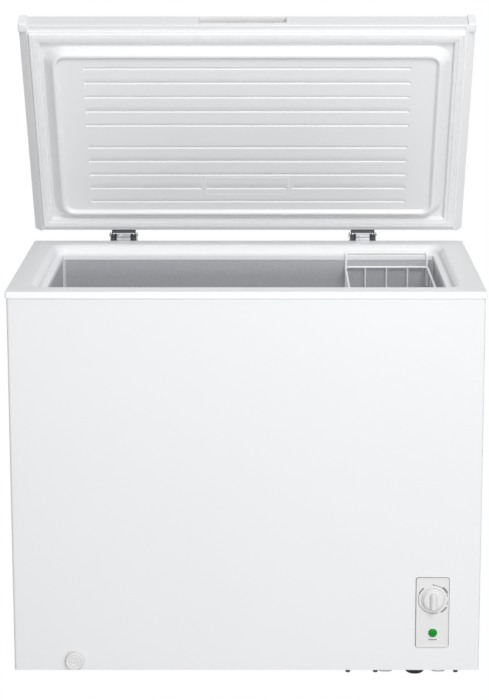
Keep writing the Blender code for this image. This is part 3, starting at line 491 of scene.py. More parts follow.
def extruded(outline, axis, along, shrink, ease):
    """Outline across an axis carried along it. Over the ease at each end the stations follow 1 - cos of a
    quarter turn and the outline grows from its middle with 1 - shrink (1 - sin), so the ends are rounded."""
    outline = np.asarray(outline, float)
    low, high = along
    turn = np.linspace(0.0, math.pi / 2, 5)
    scale = 1 - shrink * np.concatenate([1 - np.sin(turn), 1 - np.sin(turn[::-1])])
    stations = np.concatenate([low + ease * (1 - np.cos(turn)), high - ease * (1 - np.cos(turn[::-1]))])
    middle = (outline.min(0) + outline.max(0)) / 2
    loops = middle + (outline[None] - middle) * scale[:, None, None]
    return loft(stand(loops, stations, axis))


def tube(path, radius, across, sides=8, closed=False):
    """Round wire: circles across a path. The circle's axes are the path's direction crossed with a fixed
    vector, and the direction crossed with that."""
    path = np.asarray(path, float)
    if closed:
        direction = np.roll(path, -1, 0) - np.roll(path, 1, 0)
    else:
        direction = np.gradient(path, axis=0)
    direction /= np.linalg.norm(direction, axis=1, keepdims=True)
    side = np.cross(direction, np.asarray(across, float))
    side /= np.linalg.norm(side, axis=1, keepdims=True)
    up = np.cross(direction, side)
    t = np.linspace(0.0, 2 * math.pi, sides, endpoint=False)
    circle = np.cos(t)[None, :, None] * side[:, None] + np.sin(t)[None, :, None] * up[:, None]
    return loft(path[:, None] + radius * circle, closed)


def screw(x, y, z, radius, height=0.0016):
    """Pan-head screw that faces the back: an elliptical dome with a cross-shaped dip in its height."""
    t = np.linspace(0.0, 2 * math.pi, 24, endpoint=False)
    ratio = np.array([1.0, 0.99, 0.94, 0.82, 0.62, 0.42, 0.24, 0.10, 0.02])
    rise = np.sqrt(np.clip(1 - ratio ** 2, 0, 1)) * height * 0.7 + height * 0.3
    rise[0] = -0.0002
    ratio = ratio[:, None]
    cross = np.exp(-(np.minimum(np.abs(np.sin(t)), np.abs(np.cos(t))) * 5) ** 2)
    depth = height * 0.6 * cross * np.clip((0.68 - ratio) * 6, 0, 1)
    out = rise[:, None] - depth * (ratio < 0.7)
    return loft(joined(x + radius * ratio * np.cos(t), y + out, z + radius * ratio * np.sin(t)))


# ------------------------------------------------------------------ cabinet pieces

def make_cabinet_shell():
    """Wrapper: one sheet bent round two front edges. A plan outline is carried up the cabinet, and the quads
    in the openings for the control plate, the drain and the side grille are left out."""
    x, back = BODY_HIGH[0], BODY_HIGH[1]
    bend, plate_lap, vent_lap, drain_reach, near = 0.0055, 0.006, 0.003, 0.012, 0.001
    bezel_low, bezel_high = corners("control_bezel")
    vent_low, vent_high = corners("side_vent_grille")
    bezel_x, bezel_z = ((bezel_low[i] + plate_lap, bezel_high[i] - plate_lap) for i in (0, 2))
    drain_x, drain_z = ((DRAIN[i] - drain_reach, DRAIN[i] + drain_reach) for i in (0, 2))
    vent_y, vent_z = ((vent_low[i] + vent_lap, vent_high[i] - vent_lap) for i in (1, 2))
    across, deep = np.linspace(0.02 - x, x - 0.02, 24), np.linspace(FACE + 0.02, back - 0.02, 12)
    plan = np.concatenate([
        eased([(x, back), (x, FACE), (-x, FACE), (-x, back)], bend, 10), joined(bezel_x + drain_x, FACE),
        joined(x, vent_y), joined(across, FACE), joined(x, deep), joined(-x, deep)])
    on_side = plan[:, 1] > FACE + bend + 0.0001
    along = np.where(np.isclose(plan[:, 0], x) & on_side, FACE - plan[:, 1], 0.0)
    along = np.where(np.isclose(plan[:, 0], -x) & on_side, plan[:, 1] - FACE + 2 * x, along)
    front = along == 0.0
    along[front] = x - plan[front, 0] + (plan[front, 1] - FACE) * np.where(plan[front, 0] > 0, -1.0, 1.0)
    plan = plan[np.argsort(along, kind="stable")]
    rows = np.concatenate([np.linspace(BODY_LOW[2], BODY_HIGH[2], 30), bezel_z, drain_z, vent_z])
    rows = np.unique(np.round(rows, 5))
    points = joined(plan[:, 0], plan[:, 1], rows[:, None]).reshape(-1, 3)
    quads = grid_faces(len(rows), len(plan), wrap_columns=False)
    centre = points[quads].mean(1)

    def inside(axis, span):
        return (centre[:, axis] > span[0]) & (centre[:, axis] < span[1])

    on_front, on_right = np.abs(centre[:, 1] - FACE) < near, np.abs(centre[:, 0] - x) < near
    holes = on_front & inside(0, bezel_x) & inside(2, bezel_z)
    holes |= on_front & inside(0, drain_x) & inside(2, drain_z)
    holes |= on_right & inside(1, vent_y) & inside(2, vent_z)
    outwards = (centre[~holes] - (0.0, MID_Y, 0.0)) * (1, 1, 0)
    quads = quad_facing(points, quads[~holes], outwards)
    sheet = walled(points, quads, 0.0009)
    piece("cabinet_wrapper_skin", [sheet], "cabinet", "painted_steel", ["outer_wrapper"])


def quad_facing(points, quads, wanted):
    """The quads, turned round together if on the whole they face away from the wanted directions."""
    normal = np.cross(points[quads[:, 2]] - points[quads[:, 0]], points[quads[:, 3]] - points[quads[:, 1]])
    return quads if np.einsum("ij,ij->", normal, wanted) > 0 else quads[:, ::-1]


def make_top_frame():
    """Moulded frame: one section carried round the rim. The inset of each section point sets its loop, and
    the loop's corner radius grows from the crisp outer lip to the flange's inner edge, then shrinks."""
    lip = FLANGE_Z - 0.787
    outer = eased([(0, -lip), (0, 0), (0.0475, 0), (0.0560, -0.0080), (0.0580, -0.0176), (0.0700, -0.0186),
                   (0.0700, -0.0290)], [0, 0.0022, 0.016, 0.010, 0.0016, 0.0020, 0], 8)
    inner = eased([(0.0690, -0.0290), (0.0690, -0.0202), (0.0565, -0.0194), (0.0545, -0.0100),
                   (0.0470, -0.0022), (0.0020, -0.0022), (0.0020, -lip)],
                  [0, 0.002, 0.002, 0.008, 0.012, 0.001, 0], 3)
    section = np.concatenate([outer, inner])
    radius = np.interp(section[:, 0], [0, 0.003, 0.040, 0.058, 0.066, 0.070],
                       [0.0045, 0.004, 0.030, 0.026, 0.010, 0.004])
    x, y = HALF_X - section[:, 0], HALF_Y - section[:, 0]
    loops = rounded_loops(-x, x, MID_Y - y, MID_Y + y, radius, 10)
    skin = loft(stand(loops, FLANGE_Z + section[:, 1]), True)
    piece("top_frame_moulding", [skin], "cabinet", "frame_plastic", ["top_frame"])


def make_tub_trims():
    """Sealing beads in the tub's upright corners: two straight edges joined by the curve cos^1.4, sin^1.4."""
    wall, gap, size = 0.001, 0.0003, 0.0065
    x, low_y, high_y = TUB_HIGH[0] - wall, TUB_LOW[1] + wall, TUB_HIGH[1] - wall
    t = np.linspace(0.0, math.pi / 2, 7)
    outline = gap + np.concatenate([[[0.0, 0.0]], size * joined(np.cos(t), np.sin(t)) ** 1.4])
    beads = []
    for sx, floor in ((-1, TUB_LOW[2] + wall), (1, STEP_FLOOR)):
        for sy, y in ((1, high_y), (-1, low_y)):
            span = (floor + 0.0004, FLANGE_Z - 0.0295)
            beads.append(extruded(outline * (-sx, -sy) + (sx * x, y), "Z", span, 0.3, 0.002))
    piece("tub_corner_beads", beads, "cabinet", "white_plastic", sharp=50.0)


def make_vents():
    """Side grille: a plate frame with slats that each slope outwards and down, rounded at both edges."""
    low, high = corners("side_vent_grille")
    x, slats, border = high[0], 8, 0.008
    inset_y, inset_z = np.array([0, 0, 0.001, 0.010, 0.010]), np.array([0, 0, 0.001, border, border])
    loops = rounded_loops(low[1] + inset_y, high[1] - inset_y, low[2] + inset_z, high[2] - inset_z, 0.003, 6)
    patches = [loft(stand(loops, [low[0], x - 0.0006, x, x, low[0]], "X"), True)]
    pitch = (high[2] - low[2] - 2 * border) / slats
    section = eased([(-0.0022, 0.0036), (0.0002, 0.0044), (0.0008, 0.0030), (-0.0012, -0.0040),
                     (-0.0024, -0.0044)], 0.0006, 3, True)
    for i in range(slats):
        outline = section + (x, low[2] + border + pitch * (i + 0.5))
        patches.append(loft(stand(np.stack([outline, outline]), [low[1] + 0.008, high[1] - 0.008], "Y")))
    piece("side_grille_louvres", patches, "cabinet", "white_plastic", ["side_vent_grille"])


def make_back():
    """Hooded slots on the rear cover, each half an ellipse that flattens towards its ends, and the screws
    that hold the cover and the back panel."""
    low, high = corners("rear_bay_cover")
    y, hoods = high[1], 10
    first, pitch, stations = 0.0595, 0.020, (0.319, 0.324, 0.441, 0.446)
    t = np.linspace(0.0, math.pi, 9)
    squeeze = np.array([0.25, 1.0, 1.0, 0.25])[:, None]
    depth = y + (0.0045 * np.sin(t) - 0.0001) * squeeze
    patches = []
    for i in range(hoods):
        loops = joined(depth, first + pitch * i + 0.0035 * (1 - np.cos(t)))
        patches.append(loft(stand(loops, stations, "X")))
    piece("rear_cover_hoods", patches, "cabinet", "galvanised_steel", sharp=50.0)
    head, panel_y = 0.0042, corners("back_panel")[1][1]
    rows = (low[2] + 0.010, (low[2] + high[2]) / 2, high[2] - 0.010)
    screws = [screw(x, y, z, head) for x in (low[0] + 0.009, high[0] - 0.009) for z in rows]
    screws += [screw(x, panel_y, z, head) for x in (-0.455, -0.15, 0.15) for z in (0.045, 0.765)]
    screws += [screw(x, panel_y, 0.40, head) for x in (-0.455, 0.455)]
    piece("rear_screws", screws, "cabinet", "zinc_steel")


def make_underside():
    """Feet with a waisted rubber body, and, behind the front edge, hexagonal bolts and two rounded lugs."""
    for name in ("front_left", "rear_left", "front_right", "rear_right"):
        node = f"foot_{name}"
        low, high = corners(node)
        section = eased([(0.0, 0.0), (0.0170, 0.0), (0.0192, 0.0020), (0.0190, 0.0050), (0.0205, 0.0075),
                         (0.0205, 0.0120), (0.0180, 0.0138), (0.0095, 0.0142), (0.0090, 0.0160),
                         (0.0, 0.0160)],
                        [0, 0.001, 0.0008, 0.002, 0.001, 0.001, 0.001, 0.0006, 0.0004, 0], 4)
        section = section[section[:, 0] > 0.0005]
        foot = turned(section, (low[:2] + high[:2]) / 2, "Z", 40)
        piece(f"{node}_rubber", [foot], "cabinet", "rubber", [node])

    def hexagon(t):
        return 0.07 * np.abs(np.cos(3 * t))

    bolt = [(0.0030, 0.0168), (0.0062, 0.0166), (0.0062, 0.0150), (0.0046, 0.0146), (0.0046, 0.0096),
            (0.0038, 0.0086), (0.0016, 0.0084)]
    bolts = [turned(bolt, (x, FACE + 0.0092), "Z", 36, wobble=hexagon) for x in (0.205, 0.261, 0.4235)]
    piece("base_bolts", bolts, "cabinet", "dark_steel")
    reach, lugs = 0.014, []
    scale = np.array([0.80, 1.0, 1.0])[:, None, None]
    for x in (0.281, 0.388):
        middle = np.array([x, FACE + 0.0165])
        outline = rounded_loops(x - reach, x + reach, middle[1] - reach, middle[1] + reach, 0.008, 6)
        lugs.append(loft(stand(middle + (outline - middle) * scale, [0.0102, 0.0118, 0.0164])))
    piece("foot_plate_lugs", lugs, "cabinet", "galvanised_steel")


# ------------------------------------------------------------------ controls and drain

def make_controls():
    """Control plate with a bevelled edge, a ring round the dial's seat, the dial, scale marks and lamp."""
    low, high = corners("control_bezel")
    front, plate_y = low[1], low[1] + 0.0005
    inset = np.array([0.0, 0.0, 0.0003, 0.0010, 0.0022, 0.0030, 0.0034])
    rise = np.array([0.0012, 0.0004, 0.0, 0.0001, 0.0005, 0.0005])
    loops = rounded_loops(low[0] + inset, high[0] - inset, low[2] + inset, high[2] - inset,
                          np.maximum(0.0042 - inset, 0.0012), 8)
    skin = loft(stand(loops, [high[1], *(front + rise)], "Y"))
    knob = (KNOB[0], KNOB[2])
    lamp_low, lamp_high = corners("power_lamp_lens")
    lamp = ((lamp_low[0] + lamp_high[0]) / 2, (lamp_low[2] + lamp_high[2]) / 2)
    seat = eased([(0.0236, plate_y + 0.0004), (0.0236, plate_y - 0.0007), (0.0256, plate_y - 0.0007),
                  (0.0262, plate_y + 0.0004)], [0, 0.0005, 0.0005, 0], 4)
    ring = eased([(0.0089, plate_y + 0.0004), (0.0089, plate_y - 0.0012), (0.0104, plate_y - 0.0012),
                  (0.0110, plate_y + 0.0004)], [0, 0.0005, 0.0006, 0], 4)
    patches = [skin, turned(seat, knob, "Y", 96, True), turned(ring, lamp, "Y", 64, True)]
    piece("control_plate", patches, "cabinet", "white_plastic", ["control_bezel"])
    # Thin black ring just outside the plate's edge: painted shadow that stands in for the dark gap line between
    # the plate and the wrapper.
    lap, half = 0.0009, 0.0004
    edge = rounded_loops(low[0] - lap, high[0] + lap, low[2] - lap, high[2] + lap, 0.0046, 8)
    edge = loft(stand(np.stack([edge, edge]), [FACE + half, FACE - half], "Y"))
    piece("control_plate_gasket", [edge], "cabinet", "rubber")
    make_scale(plate_y, knob, lamp)
    make_dial(plate_y, knob)
    dome = np.linspace(0.0, math.pi / 2, 12)[:-1]
    lens = joined(0.0086 * np.cos(dome), plate_y - 0.0012 - 0.0022 * np.sin(dome))
    lens = np.vstack([[0.0086, high[1]], lens])
    piece("lamp_lens_dome", [turned(lens, lamp, "Y", 56)], "cabinet", "green_lens", ["power_lamp_lens"])


def make_dial(plate_y, knob):
    """Dial: a skirt turned about its axis, and a grip whose loops narrow as it rises, with a pointer dot."""
    skirt = eased([(0.0034, plate_y - 0.0006), (0.0228, plate_y - 0.0006), (0.0228, plate_y - 0.0040),
                   (0.0208, plate_y - 0.0044), (0.0198, plate_y - 0.0098), (0.0165, plate_y - 0.0112),
                   (0.0010, plate_y - 0.0116)], [0, 0.0006, 0.0012, 0.0010, 0.0022, 0.004, 0], 6)
    half, long = 0.0086, 0.0186
    rise = np.array([0.0, 0.35, 0.66, 0.86, 0.96, 1.0])
    narrow = np.array([0.0, 0.0012, 0.0026, 0.0042, 0.0056, 0.0068])
    grip = rounded_loops(knob[0] - half + narrow, knob[0] + half - narrow, knob[1] - long + narrow * 0.4,
                         knob[1] + long - narrow * 0.4, 0.0082 - narrow, 8)
    top, base = corners("thermostat_knob")[0][1], plate_y - 0.0090
    grip = loft(stand(grip, base + (top - base) * rise, "Y"))
    patches = [turned(skirt, knob, "Y", 96), grip]
    piece("dial_knob", patches, "thermostat_dial", "white_plastic", ["thermostat_knob"], sharp=40.0)
    dot = turned([(0.0012, plate_y - 0.0090), (0.0012, plate_y - 0.0122), (0.0010, plate_y - 0.0124)],
                 (knob[0], knob[1] + 0.0162), "Y", 20)
    piece("dial_pointer_dot", [dot], "thermostat_dial", "black_plastic")


MARK_IN, MARK_OUT = 0.0002, 0.00012


def arc_mark(centre, radius, width, start, end, y):
    """Thin raised strip along an arc: angles run clockwise from the top, in degrees."""
    t = np.radians(np.linspace(start, end, max(3, int(abs(end - start) / 3))))
    inner, outer = radius - width / 2, radius + width / 2
    r = np.array([inner, inner, outer, outer])
    out = np.array([MARK_IN, -MARK_OUT, -MARK_OUT, MARK_IN])
    return loft(joined(centre[0] + r * np.sin(t)[:, None], y + out, centre[1] + r * np.cos(t)[:, None]))


def make_scale(plate_y, knob, lamp):
    """Printed scale: an arc that runs clockwise round the dial with a dot at its start, three groups of
    short bars, and a row of dashes under the lamp."""
    radius = 0.0298
    stations = [plate_y + MARK_IN, plate_y - MARK_OUT]
    marks = [arc_mark(knob, radius, 0.0010, a, b, plate_y) for a, b in ((0, 112), (160, 292))]
    for start, away in ((38, 0.0022), (122, 0.0016), (294, 0.0004)):
        for i in range(6):
            a = start + i * 4.7
            marks.append(arc_mark(knob, radius + away, 0.0034 - 0.0010 * (i % 2), a, a + 3.6, plate_y))
    marks.append(turned(joined(0.0012, stations), (knob[0], knob[1] + radius + 0.0012), "Y", 16))
    for i in range(5):
        x = lamp[0] - 0.0080 + 0.0034 * i
        outline = rounded_loops(x, x + 0.0026, lamp[1] - 0.0156, lamp[1] - 0.0136, 0.0004, 2)
        marks.append(loft(stand(np.stack([outline, outline]), stations, "Y")))
    piece("scale_marks", marks, "cabinet", "dark_steel", sharp=60.0)


def make_drain():
    """Drain fitting: flange with a rolled edge, cap with concentric rings and a grip bar, inner plug."""
    centre = (DRAIN[0], DRAIN[2])
    flange = eased([(0.0072, FACE + 0.0540), (0.0072, FACE - 0.0044), (0.0186, FACE - 0.0044),
                    (0.0193, FACE - 0.0028), (0.0193, FACE - 0.0004), (0.0098, FACE - 0.0004),
                    (0.0098, FACE + 0.0540)], [0, 0.0008, 0.0012, 0.0010, 0.0004, 0.0004, 0], 5)
    flange = turned(flange, centre, "Y", 72, True)
    piece("drain_spout_moulding", [flange], "drain_spout_body", "white_plastic", ["drain_spout"])

    def ribs(t):
        return 0.010 * np.cos(36 * t)

    y = FACE - 0.0056
    cap = eased([(0.0060, y + 0.0110), (0.0060, y + 0.0002), (0.0176, y + 0.0002), (0.0179, y - 0.0040),
                 (0.0168, y - 0.0060), (0.0140, y - 0.0060), (0.0134, y - 0.0048), (0.0112, y - 0.0048),
                 (0.0106, y - 0.0060), (0.0080, y - 0.0060), (0.0074, y - 0.0046), (0.0008, y - 0.0046)],
                [0, 0.0003, 0.0006, 0.0010, 0.0010, 0.0005, 0.0004, 0.0004, 0.0005, 0.0005, 0.0004, 0], 4)
    bar = rounded_loops(centre[0] - 0.0062, centre[0] + 0.0062, centre[1] - 0.0014, centre[1] + 0.0014,
                        [0.0012, 0.0012, 0.0010], 5)
    bar = loft(stand(bar, [y - 0.0040, y - 0.0058, y - 0.0062], "Y"))
    cap = turned(cap, centre, "Y", 144, wobble=ribs)
    piece("drain_cap_moulding", [cap, bar], "drain_cap_body", "white_plastic", ["drain_cap"])
    low, high = corners("inner_drain_plug")
    z = TUB_LOW[2] + 0.001
    plug = eased([(0.0040, low[2]), (0.0056, z + 0.0006), (0.0130, z + 0.0006), (0.0130, z + 0.0026),
                  (0.0055, z + 0.0042), (0.0046, z + 0.0080), (0.0060, z + 0.0115), (0.0045, z + 0.0144),
                  (0.0006, z + 0.0145)], [0, 0.0004, 0.0008, 0.0010, 0.002, 0.002, 0.002, 0.002, 0], 4)
    plug = turned(plug, (low[:2] + high[:2]) / 2, "Z", 48)
    piece("drain_plug_rubber", [plug], "inner_plug", "rubber", ["inner_drain_plug"])


# ------------------------------------------------------------------ basket

def make_basket():
    """Coated wires: a rim, a middle and a lower hoop, U-shaped wires both ways, and the two hanger wires."""
    low, high = corners("basket_left_side")
    x0, y0, z0 = np.minimum(low, corners("basket_floor")[0])
    x1, y1, z1 = corners("basket_right_side")[1][0], high[1], high[2]
    look = bpy.context.scene.freezer_look
    thick, thin = look.rim_wire / 2, look.basket_wire / 2
    inner = thin * 3 - 0.0006
    wires = []
    hoops = ((z1 - thick, thick, thick), ((z0 + z1) / 2, thin, inner), (z0 + 0.012, thin, inner))
    for z, radius, inset in hoops:
        hoop = rounded_loops(x0 + inset, x1 - inset, y0 + inset, y1 - inset, 0.012, 6)
        wires.append(tube(joined(hoop[:, 0], hoop[:, 1], z), radius, (0, 0, 1), 10, True))

    def cradle(start, end, floor):
        """Flat path down one side of the basket, across its floor and up the other side."""
        start, end, top = start + thick, end - thick, z1 - 0.004
        return resampled(eased([(start, top), (start, floor), (end, floor), (end, top)], 0.014, 5), 0.02)

    path = cradle(x0, x1, z0 + thin)
    for i in range(6):
        y = y0 + 0.020 + (y1 - y0 - 0.040) * i / 5
        wires.append(tube(joined(path[:, 0], y, path[:, 1]), thin, (0, 1, 0)))
    path = cradle(y0, y1, z0 + thin * 3)
    for i in (1, 2, 3):
        wires.append(tube(joined(x0 + (x1 - x0) * i / 4, path[:, 0], path[:, 1]), thin, (1, 0, 0)))
    left, right, low_end, top = x0 + 0.004, x1 - 0.004, z1 - 0.045, FLANGE_Z - 0.0175 + thick
    for node, sign, y in (("basket_front_end", -1, y0), ("basket_rear_end", 1, y1)):
        far = corners(node)[(sign + 1) // 2][1] - sign * thick
        near = y + sign * (thick - 0.0006)
        path = [(left, near, low_end), (left, near, top), (left, far, top), (right, far, top),
                (right, near, top), (right, near, low_end)]
        wires.append(bent_wire(path, thick, 0.0055))
    nodes = [f"basket_{part}" for part in ("floor", "left_side", "right_side", "front_end", "rear_end")]
    piece("basket_wires", wires, "basket", "wire_coating", nodes, sharp=50.0)


def resampled(path, spacing):
    """Adds points to the long straight runs of a flat path, at an even spacing along its length."""
    length = np.concatenate([[0.0], np.cumsum(np.linalg.norm(np.diff(path, axis=0), axis=1))])
    at = np.unique(np.concatenate([length, np.arange(0.0, length[-1], spacing)]))
    return np.stack([np.interp(at, length, path[:, 0]), np.interp(at, length, path[:, 1])], -1)


def bent_wire(points, radius, bend, sides=10, steps=5):
    """Wire through corners in space. Each corner is a parabola between points one bend length away, and the
    circles are carried along by turning them with the path, so the wire doesn't twist."""
    points = np.asarray(points, float)
    path = [points[:1]]
    t = np.linspace(0.0, 1.0, steps + 1)[:, None]
    for before, corner, after in zip(points, points[1:], points[2:]):
        start = corner + (before - corner) / np.linalg.norm(before - corner) * bend
        end = corner + (after - corner) / np.linalg.norm(after - corner) * bend
        path.append(start * (1 - t) ** 2 + corner * 2 * t * (1 - t) + end * t ** 2)
    path.append(points[-1:])
    path = np.concatenate(path)
    direction = np.gradient(path, axis=0)
    direction /= np.linalg.norm(direction, axis=1, keepdims=True)
    side = np.cross(direction[0], (1.0, 0.0, 0.0) if abs(direction[0][0]) < 0.9 else (0.0, 1.0, 0.0))
    circles = []
    turn = np.linspace(0.0, 2 * math.pi, sides, endpoint=False)
    for middle, way in zip(path, direction):
        side = side - way * (side @ way)
        side = side / np.linalg.norm(side)
        up = np.cross(way, side)
        circles.append(middle + radius * (np.cos(turn)[:, None] * side + np.sin(turn)[:, None] * up))
    return loft(circles)


# ------------------------------------------------------------------ lid

def make_lid_panel():
    """Outer sheet: a folded section carried across the lid, with the grip's cut-out, then given its wall."""
    y0, y1, rim, top = LID_LOW[1], LID_HIGH[1], LID_LOW[2], LID_HIGH[2]
    fold, lap, across = 0.0100, 0.0008, 24
    marks = np.array([GRIP_LOW[2] + lap, GRIP_HIGH[2] - lap])
    flat = joined(np.linspace(y0 + 0.02, y1 - 0.02, across), top)
    section = eased([(y0 + fold, rim), (y0, rim), (y0, marks[0]), (y0, marks[1]), (y0, top), *flat, (y1, top),
                     (y1, rim), (y1 - fold, rim)],
                    [0, 0.0022, 0, 0, 0.0050] + [0] * across + [0.0065, 0.0022, 0], 8)
    x = np.concatenate([np.linspace(LID_LOW[0], LID_HIGH[0], 40), [GRIP_LOW[0] + lap, GRIP_HIGH[0] - lap]])
    x = np.unique(np.round(x, 5))
    points = joined(x[:, None], section[:, 0], section[:, 1]).reshape(-1, 3)
    quads = grid_faces(len(x), len(section), wrap_columns=False)
    centre = points[quads].mean(1)
    hole = (np.abs(centre[:, 1] - y0) < 0.001) & (centre[:, 0] > GRIP_LOW[0]) & (centre[:, 0] < GRIP_HIGH[0])
    hole &= (centre[:, 2] > marks[0]) & (centre[:, 2] < marks[1])
    quads = quads[~hole]
    middle = np.array([0.0, (y0 + y1) / 2, (rim + top) / 2])
    sheet = walled(points, quad_facing(points, quads, points[quads].mean(1) - middle), 0.0007)
    piece("lid_sheet", [sheet], "lid", "painted_steel", ["lid_outer_panel", "lid_front_rail"], lid=True)


def make_end_caps():
    """End caps: a full-depth section with a rounded top, a bevelled underside and an inner rib, eased at both
    ends by shrinking the section along a quarter circle."""
    top, rim, outer, inner = CAP_HIGH[2], CAP_LOW[2], CAP_HIGH[0], CAP_LOW[0]
    side_face = outer - 0.0003
    section = eased([(inner, top), (side_face, top), (side_face, rim + 0.0115),
                     (inner + 0.0010, rim), (inner, rim)],
                    [0, 0.0075, 0.0030, 0.0008, 0], 7, False)
    nose = eased([(inner - 0.0008, top + 0.0004), (outer, top + 0.0004), (outer, rim - 0.0008),
                  (inner - 0.0008, rim - 0.0008)], [0.0006, 0.0075, 0.0032, 0.0012], 7, True)
    rib = eased([(inner - 0.0056, rim - 0.0026), (inner - 0.0004, rim - 0.0026),
                 (inner - 0.0002, rim + 0.0010),
                 (inner - 0.0060, rim + 0.0010)], [0.0016, 0.0016, 0.0002, 0.0002], 5, True)
    for side, sign in (("left", -1.0), ("right", 1.0)):
        flip = np.array([sign, 1.0])
        patches = [extruded(section * flip, "Y", (CAP_LOW[1] + 0.002, CAP_HIGH[1]), 0.14, 0.0030),
                   extruded(nose * flip, "Y", (CAP_LOW[1], CAP_LOW[1] + 0.0200), 0.10, 0.0030),
                   extruded(rib * flip, "Y", (LID_LOW[1] + 0.004, LID_HIGH[1] - 0.004), 0.2, 0.002)]
        piece(f"lid_cap_{side}", patches, "lid", "cap_plastic", [f"lid_end_cap_{side}"], lid=True)


def steps_between(low, high, coarse, spots, fine, reach):
    """Grid lines: coarse everywhere and fine within reach of each spot."""
    lines = [np.arange(low, high, coarse), [high]]
    lines += [np.arange(max(low, s - reach), min(high, s + reach), fine) for s in spots]
    lines = np.unique(np.round(np.concatenate(lines), 5))
    keep = np.concatenate([[True], np.diff(lines) > fine * 0.45])
    keep[-1] = True
    return lines[keep]


def tidy_lines(groups, least):
    """One rising list of grid lines, without any that lie closer than the least spacing."""
    lines = np.unique(np.round(np.concatenate(groups), 5))
    keep = np.concatenate([[True], np.diff(lines) > least])
    keep[-1] = True
    return lines[keep]


def groove_rows():
    """Places across the lid of the ten pressed grooves, in two groups of five."""
    start, pitch, gap = LID_LOW[1] + 0.0975, 0.0355, 0.057
    return [start + pitch * i + (gap - pitch if i > 4 else 0.0) for i in range(10)]


RIDGE = {"side": (0.0486, 0.0680, 0.0735, 0.0788), "front": (0.0460, 0.0617, 0.0680, 0.0728),
         "rear": (0.0420, 0.0560, 0.0610, 0.0660)}


def lid_relief(x, y):
    """Height of the pressed panel's visible face. Each side has its own ridge, so insets from the front and
    rear are first stretched to the sides' scale. Corners join by the distance to a rounded outline. Grooves
    and a small frame are smooth changes, and the outer edge tucks up behind the outer sheet's fold."""
    side = RIDGE["side"]
    insets = [HALF_X - np.abs(x)]
    for key, inset in (("front", y - LID_LOW[1]), ("rear", LID_HIGH[1] - y)):
        places = [0.0, *RIDGE[key], RIDGE[key][-1] + 0.05]
        insets.append(np.interp(inset, places, [0.0, *side, side[-1] + 0.05]))
    across, along = insets[0], np.minimum(insets[1], insets[2])
    corner = side[-1] + 0.016
    inset = np.minimum(across, along)
    rounded = corner - np.hypot(np.maximum(corner - across, 0), np.maximum(corner - along, 0))
    inset = np.where((across < corner) & (along < corner), rounded, inset)
    rim = LID_LOW[2]
    section = eased([(-0.05, 0.0), (side[0], 0.0), (side[1], -0.0195), (side[2], -0.0200), (side[3], -0.0132),
                     (0.30, -0.0132)], [0, 0.006, 0.0045, 0.0030, 0.0030, 0], 8)
    height = rim + np.interp(inset, section[:, 0], section[:, 1])
    nearest = np.minimum(y - LID_LOW[1], LID_HIGH[1] - y)
    height += 0.0009 * np.clip((0.0108 - nearest) / 0.0006, 0, 1)
    height -= 0.0004 * np.clip((nearest - 0.0148) / 0.0008, 0, 1) * np.clip((0.0440 - nearest) / 0.004, 0, 1)
    reach, half_width, depth = 0.3392, 0.0028, 0.0030
    dip = np.zeros_like(height)
    for i, row in enumerate(groove_rows()):
        spans = ((-reach, reach),) if i != 8 else ((-reach, -0.1033), (-0.0873, 0.0818), (0.0989, reach))
        for low, high in spans:
            away = np.hypot(np.maximum(np.maximum(low - x, x - high), 0), y - row)
            dip = np.maximum(dip, np.clip(1 - (away / half_width) ** 3, 0, 1))
    row = groove_rows()[8] - 0.004
    edge = np.maximum(np.abs(x + 0.0038) - 0.0900, np.abs(y - row) - 0.0225)
    frame_rise = 0.0006 * np.clip(1 - (edge / 0.0014) ** 2, 0, 1)
    return height + depth * dip - frame_rise


def make_lid_liner():
    """Pressed inner panel: a grid with fine lines at the ridge and grooves, lifted by the relief, and a
    coarser back skin one wall higher; both share their border points through a strip of quads."""
    x1, y0, y1 = CAP_LOW[0] - 0.0003, LID_LOW[1] + 0.0085, LID_HIGH[1] - 0.0085
    x0 = -x1
    rows = groove_rows()
    side = RIDGE["side"]
    front, rear = LID_LOW[1] + np.array(RIDGE["front"]), LID_HIGH[1] - np.array(RIDGE["rear"])
    spots = [-0.3404, 0.3404, -0.1033, -0.0873, 0.0818, 0.0989, -0.0938, 0.0862]
    x = steps_between(x0, x1, 0.016, spots, 0.0009, 0.0036)
    bands = [np.arange(side[0] - 0.004, side[3] + 0.004, 0.0015),
             np.arange(side[3] + 0.004, side[3] + 0.024, 0.0025)]
    x = tidy_lines([x, *(HALF_X - band for band in bands), *(band - HALF_X for band in bands)], 0.0005)
    y = steps_between(y0, y1, 0.014, [*rows, rows[8] - 0.0265, rows[8] + 0.0185], 0.0007, 0.0034)
    y = tidy_lines([y, np.arange(y0, y0 + 0.009, 0.0009), np.arange(y1 - 0.009, y1, 0.0009),
                    np.arange(front[3], front[3] + 0.024, 0.0025),
                    np.arange(rear[3] - 0.024, rear[3], 0.0025),
                    np.arange(front[0] - 0.004, front[3] + 0.004, 0.0012),
                    np.arange(rear[3] - 0.004, rear[0] + 0.004, 0.0012)], 0.0004)
    grid_x, grid_y = np.meshgrid(x, y, indexing="ij")
    face = lid_relief(grid_x, grid_y)
    below = np.stack([grid_x, grid_y, face], -1)
    above = below + (0.0, 0.0, 0.0016)
    count = face.size
    quads = grid_faces(len(x), len(y), wrap_columns=False)
    index = np.arange(count).reshape(len(x), len(y))
    border = np.concatenate([index[:, 0], index[-1, 1:], index[-2::-1, -1], index[0, -2:0:-1]])
    strip = np.stack([border, np.roll(border, -1), np.roll(border, -1) + count, border + count], -1)
    points = np.concatenate([below.reshape(-1, 3), above.reshape(-1, 3)])
    faces = np.concatenate([quads[:, ::-1], quads + count, strip]).tolist()
    faces = consistent(points, faces, len(quads))
    piece("lid_pressed_panel", [(points, faces)], "lid", "liner_plastic", ["lid_liner"], sharp=60.0,
          lid=True)


